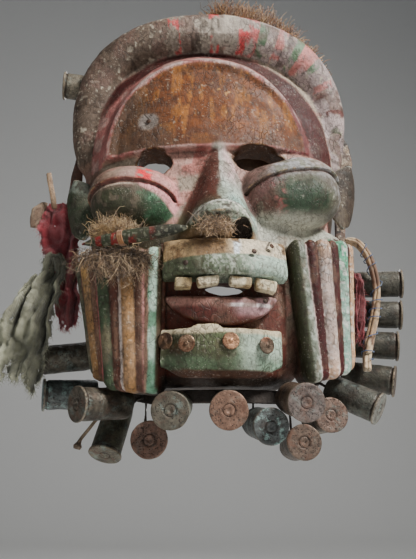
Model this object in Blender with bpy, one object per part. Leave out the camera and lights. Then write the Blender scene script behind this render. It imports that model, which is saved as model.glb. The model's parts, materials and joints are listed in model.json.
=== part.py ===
"""Carved dance mask with a beard of brass shell cases.

Frame: +Z up as worn, the face looks along -Y, +X is to the viewer's right.
Y = 0 is the flat back rim, X = 0 the middle of the face, Z = 0 the level of the nose base.
All lengths in this file are millimetres until they reach Blender, which gets metres.
"""
import math

import bmesh
import bpy
from mathutils import Matrix, Vector

MM = 0.001
GAP = 0.35                    # clearance between pieces that touch

# ---- driving dimensions of the carving ----
WALL_SIDE = 13.0              # wood left at the sides
WALL_FRONT = 15.0             # wood left at the front
ROLL_RADIUS = 16.0            # forehead roll
RECESS_LEFT = -37.0           # inner wall of the left cheek block
RECESS_RIGHT = 43.5           # inner wall of the right cheek block
RECESS_TOP = 8.5              # under the nose
RECESS_Y = -78.0              # flat floor of the mouth recess

# ---- shell cases ----
SHELL_LENGTH = 38.0
SHELL_BODY_R = 10.3
SHELL_RIM_R = 11.25
SHELL_RIM_THICK = 1.5
SHELL_WALL = 1.2
SHELL_WEB = 4.5               # solid head between the hollow and the base
PRIMER_R = 3.9
CROWN_SHELL_LENGTH = 24.0
CROWN_SHELL_MOUTH = (-100, -20, 164)
CROWN_SHELL_HEADING = (-82, 2)

# Each case of the beard: middle of its mouth, then its heading in degrees from straight
# ahead towards +X, and its elevation. They run from the right temple round the jaw.
SHELLS = {
    "shell_01": ((112, -13, 0), 74, -2),
    "shell_02": ((109, -13, -23.5), 74, -4),
    "shell_03": ((104, -13, -47), 73, -5),
    "shell_04": ((99, -14, -70.5), 64, -10),
    "shell_05": ((82, -33, -82), 54, -24),
    "shell_06": ((73, -24, -104), 2, 4),
    "shell_07": ((57, -24, -121.5), -2, 5),
    "shell_08": ((47, -64, -91), 2, -7),
    "shell_09": ((28, -43, -106), 5, -4),
    "shell_10": ((6, -64, -96), -4, -6),
    "shell_11": ((-26, -56, -96), -6, -6),
    "shell_12": ((-46, -36, -117), 6, 1),
    "shell_13": ((-66, -15, -95), -20, -58),
    "shell_14": ((-59, -43, -94), -50, -2),
    "shell_15": ((-83, -13, -86), -74, -2),
    "shell_16": ((-88, -13, -58), -78, -8),
}

# Middle line of the strap that carries the cases, from the right temple to the left cheek.
STRAP_LINE = [(103, -13, 15), (101, -13, 0), (98, -13, -22), (94, -13, -44), (90, -14, -60),
              (80, -14, -74), (70, -18, -82), (58, -33, -89), (42, -50, -90), (24, -58, -90),
              (6, -60, -90), (-20, -54, -90), (-42, -40, -90), (-58, -23, -85.5), (-72, -13, -77),
              (-80, -12, -62), (-85, -12, -40), (-90, -12, -12)]
STRAP_HEIGHT = 9.0
STRAP_THICK = 2.4
THONG_R = 1.4                 # lace that ties each case to the strap

# Ends of the painted stick.
STICK_LEFT = (-88, -88, 2)
STICK_RIGHT = (-21, -107.5, 8)

# Plan and height of the head: height, half width, depth to the front.
HEAD_SECTIONS = [(-84, 48, 72), (-80, 56, 76), (-70, 66, 78), (-58, 74, 78), (-40, 81, 78),
                 (0, 90, 78), (30, 95, 76), (70, 101, 72), (100, 104, 66), (130, 101, 61),
                 (155, 92, 57), (175, 76, 52), (190, 52, 46), (200, 20, 40)]

FLUTE_DEPTH = 28.0            # how far a cheek flute runs back into the head
# Share of a flute's height, and its size there.
FLUTE_ENDS = [(0.0, 0.5), (0.03, 0.85), (0.09, 1.0), (0.5, 1.06), (0.9, 1.0), (1.0, 0.5)]

# Middle line of the forehead roll.
ROLL_LINE = [(-97, -21, 96), (-99, -23, 116), (-97, -26, 140), (-89, -32, 164), (-72, -39, 182),
             (-46, -46, 193), (-16, -50, 197), (14, -50, 198), (44, -46, 194), (70, -39, 184),
             (86, -32, 168), (95, -26, 146), (97, -22, 120), (96, -20, 98)]


def metres(point):
    return Vector(point) * MM


def clear_scene():
    for old in list(bpy.data.objects):
        bpy.data.objects.remove(old, do_unlink=True)


def material(name, color, roughness, metallic=0.0):
    mat = bpy.data.materials.get(name)
    if mat is None:
        mat = bpy.data.materials.new(name)
        mat.use_nodes = True
        shader = mat.node_tree.nodes["Principled BSDF"]
        shader.inputs["Base Color"].default_value = (*color, 1.0)
        shader.inputs["Roughness"].default_value = roughness
        shader.inputs["Metallic"].default_value = metallic
    return mat


def painted_wood():
    return material("painted_wood", (0.33, 0.38, 0.31), 0.6)


def lip_paint():
    return material("lip_paint", (0.45, 0.22, 0.21), 0.5)


def tooth_wood():
    return material("tooth_wood", (0.62, 0.52, 0.38), 0.6)


def shell_brass():
    return material("shell_brass", (0.35, 0.29, 0.20), 0.45, 1.0)


def disc_copper():
    return material("disc_copper", (0.50, 0.27, 0.19), 0.5, 1.0)


def nail_iron():
    return material("nail_iron", (0.16, 0.11, 0.09), 0.7, 0.8)


def plant_fibre():
    return material("plant_fibre", (0.48, 0.31, 0.15), 0.85)


def cane():
    return material("cane", (0.66, 0.47, 0.29), 0.55)


def blue_thread():
    return material("blue_thread", (0.10, 0.17, 0.32), 0.8)


def red_cloth():
    return material("red_cloth", (0.38, 0.05, 0.06), 0.85)


def green_canvas():
    return material("green_canvas", (0.31, 0.32, 0.24), 0.9)


def brown_leather():
    return material("brown_leather", (0.36, 0.24, 0.18), 0.7)


def dark_leather():
    return material("dark_leather", (0.06, 0.045, 0.04), 0.7)


def finish_object(name, bm, mat, smooth_angle=40.0):
    """Make one object from a bmesh in millimetres."""
    bmesh.ops.recalc_face_normals(bm, faces=bm.faces[:])
    bmesh.ops.scale(bm, vec=(MM, MM, MM), verts=bm.verts[:])
    mesh = bpy.data.meshes.new(name)
    bm.to_mesh(mesh)
    bm.free()
    mesh.materials.append(mat)
    mesh.shade_smooth()
    mesh.set_sharp_from_angle(angle=math.radians(smooth_angle))
    obj = bpy.data.objects.new(name, mesh)
    bpy.context.collection.objects.link(obj)
    return obj


def loft(bm, rings):
    """Join closed rings of equal count into one capped solid."""
    rows = [[bm.verts.new(p) for p in ring] for ring in rings]
    count = len(rows[0])
    for low, high in zip(rows, rows[1:]):
        for i in range(count):
            j = (i + 1) % count
            bm.faces.new((low[i], low[j], high[j], high[i]))
    bm.faces.new(rows[0])
    bm.faces.new(rows[-1])


def smooth_line(points, steps):
    """Points along a Catmull-Rom curve through the given ones."""
    pts = [Vector(p) for p in points]
    ends = [2 * pts[0] - pts[1]] + pts + [2 * pts[-1] - pts[-2]]
    out = []
    for k in range(len(pts) - 1):
        a, b, c, d = ends[k:k + 4]
        for s in range(steps):
            t = s / steps
            out.append(0.5 * (2 * b + (c - a) * t + (2 * a - 5 * b + 4 * c - d) * t ** 2
                              + (3 * b - a - 3 * c + d) * t ** 3))
    out.append(pts[-1])
    return out


def sweep(bm, line, half_widths, half_thicks, sides=10, up=(0, 0, 1), power=2.0):
    """Sweep a superellipse along a line; 'up' sets the direction of the half width."""
    rings = []
    last = len(line) - 1
    for k, point in enumerate(line):
        ahead = (line[min(k + 1, last)] - line[max(k - 1, 0)]).normalized()
        side = ahead.cross(Vector(up)).normalized()
        tall = side.cross(ahead)
        ring = []
        for i in range(sides):
            angle = 2 * math.pi * i / sides
            u = signed_power(math.cos(angle), 2.0 / power)
            v = signed_power(math.sin(angle), 2.0 / power)
            ring.append(point + tall * (u * half_widths[k]) + side * (v * half_thicks[k]))
        rings.append(ring)
    loft(bm, rings)


def signed_power(value, power):
    return math.copysign(abs(value) ** power, value)


def ellipsoid(bm, centre, radii, turn=None, divisions=3):
    matrix = Matrix.Translation(Vector(centre))
    if turn is not None:
        matrix = matrix @ turn
    matrix = matrix @ Matrix.Diagonal((*radii, 1.0))
    bmesh.ops.create_icosphere(bm, subdivisions=divisions, radius=1.0, matrix=matrix)


def heading(azimuth, elevation):
    """Unit vector: azimuth from -Y towards +X, elevation above the horizontal."""
    a = math.radians(azimuth)
    e = math.radians(elevation)
    return Vector((math.sin(a) * math.cos(e), -math.cos(a) * math.cos(e), math.sin(e)))


# ------------------------------------------------------------------ face carving

def head_ring(z, half_width, depth, power=2.6, count=36, back=6.0):
    """Half superellipse from the right rim round the front to the left rim."""
    ring = []
    for i in range(count + 1):
        angle = math.pi * i / count
        x = signed_power(math.cos(angle), 2.0 / power) * half_width
        y = -(math.sin(angle) ** (2.0 / power)) * depth
        ring.append((x, y, z))
    ring.append((-half_width, back, z))
    ring.append((half_width, back, z))
    return ring


def add_head(bm):
    loft(bm, [head_ring(*section) for section in HEAD_SECTIONS])


def add_roll(bm, grow=0.0):
    line = smooth_line(ROLL_LINE, 3)
    count = len(line)
    radii = []
    for k in range(count):
        end = min(k, count - 1 - k) / 3.0
        radii.append(ROLL_RADIUS * min(1.0, 0.72 + 0.14 * end) + grow)
    sweep(bm, line, radii, radii, sides=16, up=(0, -1, 0.2))


def add_panel(bm):
    """Half dome of the forehead with a flat lower edge."""
    rings = []
    for k in range(8):
        angle = math.radians(72.0) * k / 7
        half_width = 70.0 * math.cos(angle) ** 0.8
        height = 86.0 + 63.0 * math.sin(angle)
        front = 78.0 - 6.0 * math.sin(angle)
        ring = [(x - 6.0, y, z) for x, y, z in head_ring(height, half_width, front, 2.4, 24, -20.0)]
        rings.append(ring)
    loft(bm, rings)


def add_panel_ridge(bm):
    """Raised moulding round the top of the panel."""
    line = smooth_line([(-84, -44, 88), (-80, -50, 112), (-62, -58, 136), (-34, -64, 152), (-4, -66, 158),
                        (27, -65, 155), (54, -59, 141), (70, -51, 118), (73, -46, 94)], 2)
    sweep(bm, line, [5.0] * len(line), [5.0] * len(line), sides=10, up=(0, -1, 0.2))


def add_nose(bm):
    """Wedge that widens and comes forward down to the tip, then cuts back underneath."""
    sections = [(84, 8, 74), (66, 11, 82), (44, 16, 94), (28, 21, 104), (20, 24, 108), (9, 25, 95)]
    rings = []
    for z, half, front in sections:
        top = 0.42 * half
        rings.append([(1 + half, -66, z), (1 + half, -66 - 0.45 * (front - 66), z),
                      (1 + top, -front, z), (1 - top, -front, z),
                      (1 - half, -66 - 0.45 * (front - 66), z), (1 - half, -66, z)])
    loft(bm, rings)


def add_eye(bm, centre, radii, tilt):
    """Bulging closed eye with a roll for its upper lid."""
    turn = Matrix.Rotation(math.radians(tilt), 4, 'Y')
    ellipsoid(bm, centre, radii, turn)
    line = []
    for k in range(13):
        angle = math.radians(12 + 156 * k / 12)
        local = Vector((0.97 * radii[0] * math.cos(angle), -0.86 * radii[1] * math.sin(angle) ** 0.7,
                        0.60 * radii[2] * math.sin(angle)))
        line.append(Vector(centre) + turn.to_3x3() @ local)
    thick = [4.5 * math.sin(math.pi * (k + 1.5) / 15) + 1.0 for k in range(13)]
    sweep(bm, line, thick, thick, sides=8)


def add_cheek_core(bm, side, middle, heights):
    """Mass under the flutes of one cheek."""
    line = [Vector((middle, -50, heights[0])), Vector((middle - 4 * side, -48, heights[1]))]
    sweep(bm, line, [22, 20], [22, 17], sides=12, up=(0, -1, 0), power=3.0)


def cheek_plan(inner, outer, share):
    """Plan of a cheek block: from the proud inner edge round to the side of the face."""
    angle = math.radians(90.0 * share)
    x = inner[0] + (outer[0] - inner[0]) * math.sin(angle)
    y = outer[1] + (inner[1] - outer[1]) * math.cos(angle) ** 0.9
    return Vector((x, y, 0.0))


def add_flute(bm, top, bottom, out, radius):
    """Rounded bar between two points, rounded off at both ends, that runs back into the head."""
    across = Vector((-out[1], out[0], 0.0))
    rings = []
    for share, scale in FLUTE_ENDS:
        base = top.lerp(bottom, share)
        ring = []
        for i in range(7):
            angle = math.pi * i / 6
            ring.append(base + across * (math.cos(angle) * radius * scale)
                        + out * ((math.sin(angle) * scale - 1.0) * radius))
        ring.append(base - across * (radius * scale) - out * FLUTE_DEPTH)
        ring.append(base + across * (radius * scale) - out * FLUTE_DEPTH)
        rings.append(ring)
    loft(bm, rings)


def cheek_flutes(name, upper, lower, flutes, top, bottom, radius):
    """One solid for each flute. upper and lower give the plan (inner, outer) at each end."""
    bars = []
    for k in range(flutes):
        share = 0.92 * k / (flutes - 1)
        high = cheek_plan(*upper, share)
        low = cheek_plan(*lower, share)
        along = (cheek_plan(*upper, share + 0.02) - high).normalized()
        out = Vector((along[1], -along[0], 0.0))
        if out[1] > 0:
            out = -out
        high.z = top[0] + (top[1] - top[0]) * share
        low.z = bottom[0] + (bottom[1] - bottom[0]) * share ** 1.2
        bm = bmesh.new()
        add_flute(bm, high, low, out, radius)
        bars.append(make_cutter(f"{name}_{k + 1}", bm))
    return bars


def make_cutter(name, bm):
    obj = finish_object(name, bm, painted_wood())
    obj.hide_render = True
    obj.display_type = 'WIRE'
    return obj


def combine(target, other, operation, solver='EXACT'):
    modifier = target.modifiers.new(other.name, 'BOOLEAN')
    modifier.operation = operation
    modifier.solver = solver
    modifier.object = other


def cut(target, cutter):
    combine(target, cutter, 'DIFFERENCE')


def box(bm, low, high):
    centre = [(a + b) / 2 for a, b in zip(low, high)]
    size = [b - a for a, b in zip(low, high)]
    matrix = Matrix.Translation(Vector(centre)) @ Matrix.Diagonal((*size, 1.0))
    bmesh.ops.create_cube(bm, size=1.0, matrix=matrix)


def box_cutter(name, low, high):
    bm = bmesh.new()
    box(bm, low, high)
    return make_cutter(name, bm)


def cavity_cutter():
    """Hollow for the wearer's face, open at the back."""
    bm = bmesh.new()
    rings = []
    for z, half_width, depth in HEAD_SECTIONS[2:-1]:
        rings.append(head_ring(z, half_width - WALL_SIDE, depth - WALL_FRONT, 2.4, 24, 9.0))
    loft(bm, rings)
    return make_cutter("cutter_cavity", bm)


def hole_cutter(name, centre, half_width, half_height, front, back):
    """Upright oval tube cut through the face."""
    bm = bmesh.new()
    rings = []
    for y in (front, back):
        ring = []
        for i in range(14):
            angle = 2 * math.pi * i / 14
            ring.append((centre[0] + half_width * math.cos(angle), y,
                         centre[1] + half_height * math.sin(angle)))
        rings.append(ring)
    loft(bm, rings)
    return make_cutter(name, bm)


def socket_cutter(mouth, direction):
    """Round hole that takes the crown shell."""
    bm = bmesh.new()
    turned(bm, [(0, 0), (SHELL_BODY_R + GAP, 0), (SHELL_BODY_R + GAP, 40), (0, 40)], 24)
    cutter = make_cutter("cutter_crown_socket", bm)
    aim(cutter, Vector(mouth) - direction * GAP, direction)
    return cutter


def nostril_cutter():
    bm = bmesh.new()
    ellipsoid(bm, (15, -96, 13), (8, 7, 6), divisions=2)
    return make_cutter("cutter_nostril", bm)


def grown_cutter(name, source):
    """Copy of a piece, larger by the gap, that cuts its seat."""
    bm = bmesh.new()
    bm.from_mesh(source.data)
    bm.normal_update()
    moves = [v.normal * (v.calc_shell_factor() * GAP * MM) for v in bm.verts]
    for vert, move in zip(bm.verts, moves):
        vert.co += move
    mesh = bpy.data.meshes.new(name)
    bm.to_mesh(mesh)
    bm.free()
    obj = bpy.data.objects.new(name, mesh)
    bpy.context.collection.objects.link(obj)
    obj.matrix_basis = source.matrix_basis
    obj.hide_render = True
    obj.display_type = 'WIRE'
    return obj


def make_face(seated):
    bm = bmesh.new()
    add_head(bm)
    add_roll(bm)
    add_panel(bm)
    add_panel_ridge(bm)
    add_nose(bm)
    add_eye(bm, (-59, -62, 41), (29, 25, 19), -4)
    add_eye(bm, (54, -62, 44), (36, 27, 22), 6)
    add_cheek_core(bm, -1, -72, (4, -76))
    add_cheek_core(bm, 1, 78, (12, -72))
    face = finish_object("face_carving", bm, painted_wood())
    remesh = face.modifiers.new("carve", 'REMESH')
    remesh.mode = 'VOXEL'
    remesh.voxel_size = 3.0 * MM
    remesh.use_smooth_shade = True
    thin = face.modifiers.new("thin_out", 'DECIMATE')
    thin.ratio = 0.052
    bars = cheek_flutes("flute_left", ((-42, -87), (-100, -40)), ((-41, -79), (-84, -36)), 9, (4, 4),
                        (-89, -70), 5.0)
    bars += cheek_flutes("flute_right", ((52, -87), (102, -42)), ((62, -77), (97, -40)), 8, (11, 20),
                         (-82, -70), 4.6)
    for bar in bars:
        combine(face, bar, 'UNION')
    cut(face, box_cutter("cutter_back", (-140, 0, -110), (140, 30, 240)))
    cut(face, box_cutter("cutter_recess", (RECESS_LEFT, -140, -110), (RECESS_RIGHT, RECESS_Y, RECESS_TOP)))
    cut(face, cavity_cutter())
    cut(face, hole_cutter("cutter_vision_left", (-45, 72), 12, 9, -110, -30))
    cut(face, hole_cutter("cutter_vision_right", (31, 77), 19, 9.5, -110, -30))
    cut(face, hole_cutter("cutter_mouth", (4, -22), 14, 4.5, -90, -30))
    cut(face, nostril_cutter())
    cut(face, socket_cutter(CROWN_SHELL_MOUTH, heading(*CROWN_SHELL_HEADING)))
    for piece in seated:
        cut(face, grown_cutter("seat_" + piece.name, piece))
    return face


# ------------------------------------------------------------------ blocks, lip and teeth

def bowed_block(name, mat, x_range, z_levels, back_y, steps=8, notch=None):
    """Block with a flat back and a bowed front. z_levels lists (z, front at middle, front at ends)."""
    bm = bmesh.new()
    rings = []
    middle = (x_range[0] + x_range[1]) / 2
    half = (x_range[1] - x_range[0]) / 2
    for z, mid_y, end_y in z_levels:
        ring = [(x_range[1], back_y, z)]
        for i in range(steps + 1):
            u = 1.0 - 2.0 * i / steps
            y = mid_y + (end_y - mid_y) * abs(u) ** 2.4
            ring.append((middle + half * u, y, z))
        ring.append((x_range[0], back_y, z))
        rings.append(ring)
    loft(bm, rings)
    return finish_object(name, bm, mat)


def make_upper_lip_block():
    levels = [(-19.5, -103, -88), (-17, -106, -90), (-11, -106.5, -90), (1, -100, -87), (6.5, -95, -85)]
    return bowed_block("upper_lip_block", painted_wood(), (RECESS_LEFT + GAP, RECESS_RIGHT - GAP),
                       levels, RECESS_Y - GAP)


def make_lower_lip():
    """Crescent: high at both ends, deep in the middle."""
    bm = bmesh.new()
    rings = []
    steps = 12
    for i in range(steps + 1):
        u = -1.0 + 2.0 * i / steps
        x = 1.5 + 36.0 * u
        bow = 1.0 - abs(u) ** 2.2
        top = -28.5 - 2.5 * bow
        bottom = -32.0 - 16.5 * bow ** 0.8
        front = -81.0 - 13.0 * bow ** 0.6
        middle = (top + bottom) / 2
        rings.append([(x, RECESS_Y - GAP, top), (x, front + 2.5, top), (x, front, top - 0.3 * (top - middle)),
                      (x, front, middle), (x, front + 3.0 * bow, bottom), (x, RECESS_Y - GAP, bottom)])
    loft(bm, rings)
    return finish_object("lower_lip", bm, lip_paint())


def make_chin_block():
    levels = [(-80.5, -92, -84), (-77, -97, -88), (-67, -98, -89), (-54, -97.5, -89), (-51.5, -96, -88)]
    return bowed_block("chin_block", painted_wood(), (RECESS_LEFT + GAP, 38.5), levels, RECESS_Y - GAP)


def make_tooth(name, x_range, z_range, front, tilt):
    bm = bmesh.new()
    middle = ((x_range[0] + x_range[1]) / 2, front + 4.0, (z_range[0] + z_range[1]) / 2)
    size = (x_range[1] - x_range[0], 8.0, z_range[1] - z_range[0])
    bmesh.ops.create_cube(bm, size=1.0, matrix=Matrix.Diagonal((*size, 1.0)))
    tooth = finish_object(name, bm, tooth_wood(), 30.0)
    tooth.location = metres(middle)
    tooth.rotation_euler = (0.0, math.radians(tilt), 0.0)
    edge = tooth.modifiers.new("edges", 'BEVEL')
    edge.width = 0.7 * MM
    edge.segments = 1
    return tooth


def make_teeth():
    rows = [("tooth_1", (-29.0, -18.0), (-27.6, -20.6), -98.0, 4.0),
            ("tooth_2", (-15.5, -1.5), (-26.4, -20.4), -101.0, -3.0),
            ("tooth_3", (4.5, 18.5), (-26.4, -20.4), -101.0, 3.0),
            ("tooth_4", (21.0, 34.5), (-28.6, -21.0), -97.0, 6.0)]
    return [make_tooth(*row) for row in rows]


def turned(bm, profile, sides):
    """Spin a profile of (radius, height) about Z."""
    verts = [bm.verts.new((radius, 0.0, height)) for radius, height in profile]
    edges = [bm.edges.new(pair) for pair in zip(verts, verts[1:])]
    bmesh.ops.spin(bm, geom=verts + edges, cent=(0, 0, 0), axis=(0, 0, 1), angle=2 * math.pi,
                   steps=sides, use_merge=True)
    bmesh.ops.remove_doubles(bm, verts=bm.verts[:], dist=1e-4)


def aim(obj, point, direction):
    """Stand an object's local +Z along a direction, at a point in millimetres."""
    obj.location = metres(point)
    obj.rotation_mode = 'QUATERNION'
    obj.rotation_quaternion = direction.to_track_quat('Z', 'Y')


def make_chin_discs():
    """Four copper discs, nailed through the middle, lying on the bowed chin."""
    spots = [(-33.5, -91.0, -59.5, -34.0), (-21.0, -96.0, -61.5, -16.0),
             (5.0, -98.0, -60.0, 2.0), (27.0, -94.5, -62.0, 24.0)]
    discs = []
    for number, (x, y, z, turn) in enumerate(spots, 1):
        bm = bmesh.new()
        turned(bm, [(0, 0), (5.3, 0), (5.3, 0.7), (4.8, 1.1), (1.4, 0.8), (1.0, 1.6), (0, 1.9)], 18)
        disc = finish_object(f"chin_disc_{number}", bm, disc_copper())
        aim(disc, (x, y - 0.8, z), heading(turn, 0))
        discs.append(disc)
    return discs


def make_nails():
    """Round nail heads standing on the blocks, the lip and the forehead."""
    spots = [((-22, -103.6, -14), -20, 0), ((19, -103.0, -6), 18, 12), ((31, -96.6, 0), 34, 14),
             ((27, -91.5, -34), 30, 0), ((-49, -70.5, 103), -20, 6)]
    for number, (point, turn, tilt) in enumerate(spots, 1):
        bm = bmesh.new()
        turned(bm, [(0, 0), (1.9, 0), (1.9, 0.5), (1.1, 1.1), (0, 1.3)], 8)
        nail = finish_object(f"nail_{number}", bm, nail_iron())
        direction = heading(turn, tilt)
        aim(nail, Vector(point) + direction * 1.2, direction)


# ------------------------------------------------------------------ ears and nose stick

def make_ear(name, centre, half_height, half_width, side, turn, lean):
    """Leaf-shaped ear, hollow towards the front, with a thin rim."""
    bm = bmesh.new()
    rings = []
    for k in range(9):
        share = -1.0 + 2.0 * k / 8
        width = half_width * (1.0 - abs(share) ** 2.2) ** 0.6 + 1.2
        ring = []
        for i in range(7):
            u = -1.0 + 2.0 * i / 6
            ring.append((u * width, 5.0 * u * u * (width / half_width), share * half_height))
        for i in range(7):
            u = 1.0 - 2.0 * i / 6
            ring.append((u * width, 5.0 * u * u * (width / half_width) + 3.4 - 1.6 * u * u,
                         share * half_height))
        rings.append(ring)
    loft(bm, rings)
    ear = finish_object(name, bm, painted_wood())
    bend = Matrix.Rotation(math.radians(turn * side), 4, 'Z') @ Matrix.Rotation(math.radians(lean), 4, 'Y')
    ear.matrix_basis = Matrix.Translation(metres(centre)) @ bend
    return ear


def make_nose_stick():
    left = Vector(STICK_LEFT)
    right = Vector(STICK_RIGHT)
    bm = bmesh.new()
    line = [left.lerp(right, k / 8) for k in range(9)]
    radii = [0.8, 2.2, 3.0, 3.5, 3.7, 3.6, 3.2, 2.6, 1.4]
    sweep(bm, line, radii, radii, sides=10)
    return finish_object("nose_stick", bm, painted_wood())


def winding(bm, line, radius_out, wire, pitch_turns, per_turn=10, sides=5):
    """One thread wound round a line; pitch_turns gives the turns made by each point of the line."""
    path = []
    last = len(line) - 1
    turns = pitch_turns[-1]
    steps = int(turns * per_turn)
    for k in range(steps + 1):
        turn = turns * k / steps
        j = max(i for i in range(len(pitch_turns)) if pitch_turns[i] <= turn + 1e-9)
        j = min(j, last - 1)
        span = pitch_turns[j + 1] - pitch_turns[j]
        point = line[j].lerp(line[j + 1], (turn - pitch_turns[j]) / span)
        axis = (line[j + 1] - line[j]).normalized()
        first = (Vector((0, 1, 0)) - axis * axis.y).normalized()
        second = axis.cross(first)
        angle = 2 * math.pi * turn
        path.append(point + (first * math.cos(angle) + second * math.sin(angle)) * radius_out)
    sweep(bm, path, [wire] * len(path), [wire] * len(path), sides=sides, up=(0.31, 0.17, 0.93))


def make_stick_thread():
    """Three turns of thread near the stick's left third."""
    bm = bmesh.new()
    left = Vector(STICK_LEFT)
    along = (Vector(STICK_RIGHT) - left).normalized()
    winding(bm, [left + along * 25.0, left + along * 29.0], 4.75, 0.6, [0, 3])
    return finish_object("stick_thread", bm, plant_fibre())


# ------------------------------------------------------------------ fibre, cloth and leather

def make_tuft(name, centre, radii, turn_z, mat):
    bm = bmesh.new()
    ellipsoid(bm, centre, radii, Matrix.Rotation(math.radians(turn_z), 4, 'Z'), 2)
    return finish_object(name, bm, mat)


def make_crown_fibre():
    """Bristle that stands on the right half of the roll."""
    bm = bmesh.new()
    line = smooth_line([(4, -42, 215), (24, -41, 219), (44, -38, 218), (64, -33, 210), (82, -27, 197),
                        (93, -22, 182)], 2)
    tall = [5, 9, 12, 14, 15, 14, 12, 10, 8, 6, 4]
    lift = [Vector((0.25 * k / 10, 0, 1)).normalized() for k in range(11)]
    raised = [p + up * (t * 0.75) for p, up, t in zip(line, lift, tall)]
    sweep(bm, raised, tall, [3.0] * 11, sides=8, up=(0.2, 0, 1))
    fibre = finish_object("crown_fibre", bm, plant_fibre())
    roll = bmesh.new()
    add_roll(roll, 0.8)
    cut(fibre, make_cutter("cutter_roll", roll))
    return fibre


def make_hanging(name, mat, sections, sides=10, power=2.5):
    """Flattened solid that hangs: sections of (x, y, z, half width, half thickness)."""
    bm = bmesh.new()
    line = [Vector(s[:3]) for s in sections]
    rings = []
    for point, section in zip(line, sections):
        ring = []
        for i in range(sides):
            angle = 2 * math.pi * i / sides
            u = signed_power(math.cos(angle), 2.0 / power)
            v = signed_power(math.sin(angle), 2.0 / power)
            ring.append(point + Vector((u * section[3], v * section[4], 0)))
        rings.append(ring)
    loft(bm, rings)
    return finish_object(name, bm, mat)


def make_cloths():
    make_hanging("green_cloth", green_canvas(), [
        (-117, -33, 14, 5, 4), (-118, -35, 4, 8, 6), (-123, -38, -16, 12, 7), (-129, -40, -40, 17, 7),
        (-132, -41, -64, 20, 7), (-131, -42, -82, 17, 5)])
    make_hanging("red_cloth_left", red_cloth(), [
        (-121, -16, 52, 7, 3), (-120, -17, 38, 9, 3.5), (-119, -17, 16, 9, 3.5), (-116, -17, -8, 7, 3),
        (-113, -17, -28, 6, 3), (-112, -17, -42, 4, 2.5)])
    make_hanging("red_cloth_right", red_cloth(), [
        (109, -36, 2, 3, 3), (110, -37, -14, 4, 4), (107.5, -37, -32, 4, 4), (105, -36, -49, 2.5, 3)])


def make_leathers():
    make_hanging("edge_leather", brown_leather(), [
        (-109, -4, 112, 3.5, 1.6), (-111, -4, 92, 5, 1.8), (-112, -4, 70, 6, 1.8), (-115, -4, 52, 5, 1.8),
        (-118, -4, 36, 3.5, 1.5)], 8)
    make_hanging("leather_tab", brown_leather(), [
        (-133, -12, 64, 3, 1.4), (-137, -13, 58, 6, 1.8), (-138, -13, 48, 6, 1.8), (-139, -12, 42, 4, 1.4)], 8)
    bm = bmesh.new()
    line = smooth_line([(-131, -17, 87), (-128, -20, 76), (-125, -20, 64), (-124, -17, 56)], 3)
    sweep(bm, line, [2.6] * len(line), [1.4] * len(line), sides=6, up=(1, 0, 0.3))
    finish_object("leather_curl", bm, brown_leather())
    make_hanging("hide_flap", brown_leather(), [
        (112, -3.4, 141, 4, 1.4), (116, -3.4, 130, 7, 1.8), (117, -3.4, 112, 8, 2), (115, -3.4, 96, 7, 2),
        (111, -3.4, 76, 5, 1.8), (109, -3.4, 48, 5, 1.8), (108, -3.4, 20, 4, 1.4)], 8)


def make_brow_lining():
    """Padded roll inside the forehead, above the wearer's eyes."""
    bm = bmesh.new()
    line = smooth_line([(-66, -24, 106), (-44, -32, 103), (-14, -37, 100), (16, -37, 97), (44, -32, 97),
                        (66, -23, 100)], 3)
    count = len(line)
    tall = [12.5 - 4.5 * abs(2.0 * k / (count - 1) - 1.0) ** 3 for k in range(count)]
    sweep(bm, line, tall, [6.0] * count, sides=10, power=2.6)
    return finish_object("brow_lining", bm, brown_leather())


# ------------------------------------------------------------------ strap, cane and lace

def make_jaw_strap():
    """Strap that lies on the sides of the head and hangs as a skirt under the chin."""
    bm = bmesh.new()
    line = smooth_line(STRAP_LINE, 3)
    count = len(line)
    rings = []
    for k, point in enumerate(line):
        ahead = (line[min(k + 1, count - 1)] - line[max(k - 1, 0)]).normalized()
        share = k / (count - 1)
        upright = min(1.0, max(0.0, (share - 0.16) / 0.2), max(0.0, (0.95 - share) / 0.16))
        width = Vector((0, -1, 0)).lerp(Vector((0, 0, 1)), upright)
        width = (width - ahead * width.dot(ahead)).normalized()
        a = width * (STRAP_HEIGHT / 2)
        b = ahead.cross(width) * (STRAP_THICK / 2)
        rings.append([point + a + b, point + a - b, point - a - b, point - a + b])
    loft(bm, rings)
    strap = finish_object("jaw_strap", bm, dark_leather(), 50.0)
    for name, (mouth, azimuth, elevation) in SHELLS.items():
        thong = make_thong("thong_" + name, Vector(mouth), heading(azimuth, elevation))
        combine(strap, thong, 'UNION', 'MANIFOLD')
    return strap


def make_thong(name, mouth, direction):
    """Short thong from the strap into the mouth of a case."""
    start = min(smooth_line(STRAP_LINE, 3), key=lambda point: (point - mouth).length)
    gap = (start - mouth).length
    behind = mouth - direction * min(8.0, 0.7 * gap)
    behind.z = max(behind.z, start.z - 2.0)
    near = mouth - direction * min(4.0, 0.35 * gap)
    path = smooth_line([start, behind, near, mouth + direction * 5.0], 2)
    bm = bmesh.new()
    sweep(bm, path, [THONG_R] * 7, [THONG_R] * 7, sides=5, up=(0.3, 0.2, 1))
    return make_cutter(name, bm)


def make_cane_hoop():
    bm = bmesh.new()
    line = cane_line()
    radii = [3.4] * len(line)
    sweep(bm, line, radii, radii, sides=8, up=(0, 1, 0))
    return finish_object("cane_hoop", bm, cane())


def cane_line():
    return smooth_line([(106, -26, 32), (113, -31, 28), (120, -33, 15), (124, -33, -6), (121, -33, -26),
                        (116, -34, -44), (111, -36, -60), (109, -40, -70)], 3)


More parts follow.
